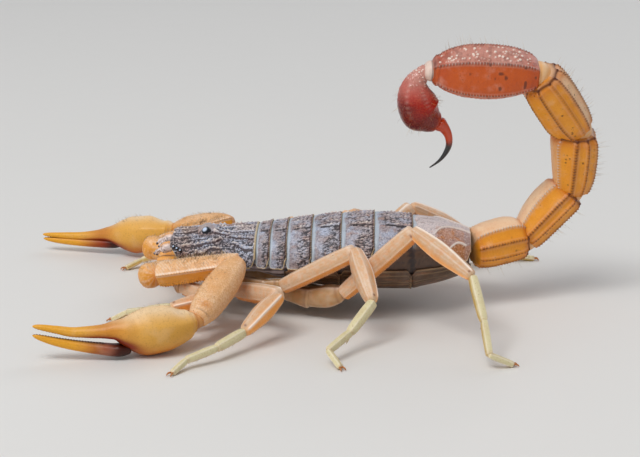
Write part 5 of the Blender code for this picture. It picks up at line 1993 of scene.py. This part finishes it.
class BuildStage(bpy.types.Operator):
    """Set up the floor, the lights and the camera"""
    bl_idname = "scorpion.stage"
    bl_label = "Stage"

    def execute(self, context):
        build_stage()
        return {"FINISHED"}


class BuildTrunk(bpy.types.Operator):
    """Build the shield, the back plates, the belly plates and the soft skin between them"""
    bl_idname = "scorpion.trunk"
    bl_label = "Trunk"

    def execute(self, context):
        plates = plate_finish()
        build_shield(plates)
        build_back_plates(plates)
        build_belly_plates(belly_finish())
        build_flesh(skin_finish())
        return {"FINISHED"}


class BuildHead(bpy.types.Operator):
    """Build the eyes and the jaws"""
    bl_idname = "scorpion.head"
    bl_label = "Head"

    def execute(self, context):
        build_eyes(eye_finish())
        build_jaws(jaw_finish())
        return {"FINISHED"}


class BuildCombs(bpy.types.Operator):
    """Build the pair of combs under the belly"""
    bl_idname = "scorpion.combs"
    bl_label = "Combs"

    def execute(self, context):
        build_combs(limb_finish("combs", *tints("legs", "joint foot_low dot crest joint")))
        return {"FINISHED"}


class BuildArms(bpy.types.Operator):
    """Build both claw arms with their hands and fingers"""
    bl_idname = "scorpion.arms"
    bl_label = "Claw arms"

    def execute(self, context):
        top, side_colour, dot, root = tints("arms", "top side dot root")
        cuticle = limb_finish("arm_cuticle", top, side_colour, dot, looks("legs").crest, root)
        amber = hand_finish()
        for side, label in SIDES:
            build_arm(side, label, cuticle, amber)
        return {"FINISHED"}


class BuildLegs(bpy.types.Operator):
    """Build the eight legs with their small foot claws"""
    bl_idname = "scorpion.legs"
    bl_label = "Legs"

    def execute(self, context):
        hip = looks("legs").hip
        cuticle = limb_finish("leg_cuticle", *tints("legs", "top side dot crest joint"), hip=hip)
        foot = limb_finish("foot_cuticle", *tints("legs", "foot foot_low dot crest joint"))
        hook = limb_finish("foot_claws", *tints("legs", "claw claw dot claw joint"), shine=0.5)
        hooks = [
            build_leg(side, label, number, cuticle, foot)
            for side, label in SIDES for number in LEG_LENGTHS
        ]
        settle(joined("leg_claws", hooks), hook)
        return {"FINISHED"}


class BuildTail(bpy.types.Operator):
    """Build the five tail segments and the skin folds between them"""
    bl_idname = "scorpion.tail"
    bl_label = "Tail"

    def execute(self, context):
        joint = looks("legs").joint
        cuticle = limb_finish("tail_cuticle", *tints("tail", "back side dot crest"), joint)
        colours = tints("tail", "end_keel end_side dot crest")
        last = limb_finish("tail_last_cuticle", *colours, joint, shine=0.4)
        build_tail(cuticle, last)
        return {"FINISHED"}


class BuildStinger(bpy.types.Operator):
    """Build the venom bulb and the sting"""
    bl_idname = "scorpion.stinger"
    bl_label = "Stinger"

    def execute(self, context):
        build_stinger(bulb_finish(), sting_finish())
        return {"FINISHED"}


class BuildBristles(bpy.types.Operator):
    """Plant the fine bristles of the arms, the legs and the tail"""
    bl_idname = "scorpion.bristles"
    bl_label = "Bristles"

    def execute(self, context):
        pale, dark = tints("bristles", "pale dark")
        fine = bristle_finish("pale_bristles", pale, dark)
        stiff = bristle_finish("dark_bristles", dark, pale)
        build_bristles(fine, stiff)
        return {"FINISHED"}


BUILDERS = (BuildStage, BuildTrunk, BuildHead, BuildCombs, BuildArms, BuildLegs, BuildTail, BuildStinger,
            BuildBristles)


class ScorpionPanel(bpy.types.Panel):
    """Lists the builders in the order they run"""
    bl_idname = "VIEW3D_PT_scorpion"
    bl_label = "Scorpion"
    bl_space_type = "VIEW_3D"
    bl_region_type = "UI"
    bl_category = "Scorpion"

    def draw(self, context):
        for builder in BUILDERS:
            self.layout.operator(builder.bl_idname)


GROUPS = {
    "trunk": TrunkLooks,
    "head": HeadLooks,
    "arms": ArmLooks,
    "legs": LegLooks,
    "tail": TailLooks,
    "bristles": BristleLooks,
    "stage": StageLooks,
}


def register():
    for kind in (*GROUPS.values(), *BUILDERS, ScorpionPanel):
        bpy.utils.register_class(kind)
    for name, kind in GROUPS.items():
        setattr(bpy.types.Scene, "scorpion_" + name, bpy.props.PointerProperty(type=kind))


def unregister():
    for name in GROUPS:
        delattr(bpy.types.Scene, "scorpion_" + name)
    for kind in reversed((*GROUPS.values(), *BUILDERS, ScorpionPanel)):
        bpy.utils.unregister_class(kind)


def main():
    register()
    bpy.ops.scorpion.stage()
    bpy.ops.scorpion.trunk()
    bpy.ops.scorpion.head()
    bpy.ops.scorpion.combs()
    bpy.ops.scorpion.arms()
    bpy.ops.scorpion.legs()
    bpy.ops.scorpion.tail()
    bpy.ops.scorpion.stinger()
    bpy.ops.scorpion.bristles()


if __name__ == "__main__":
    main()
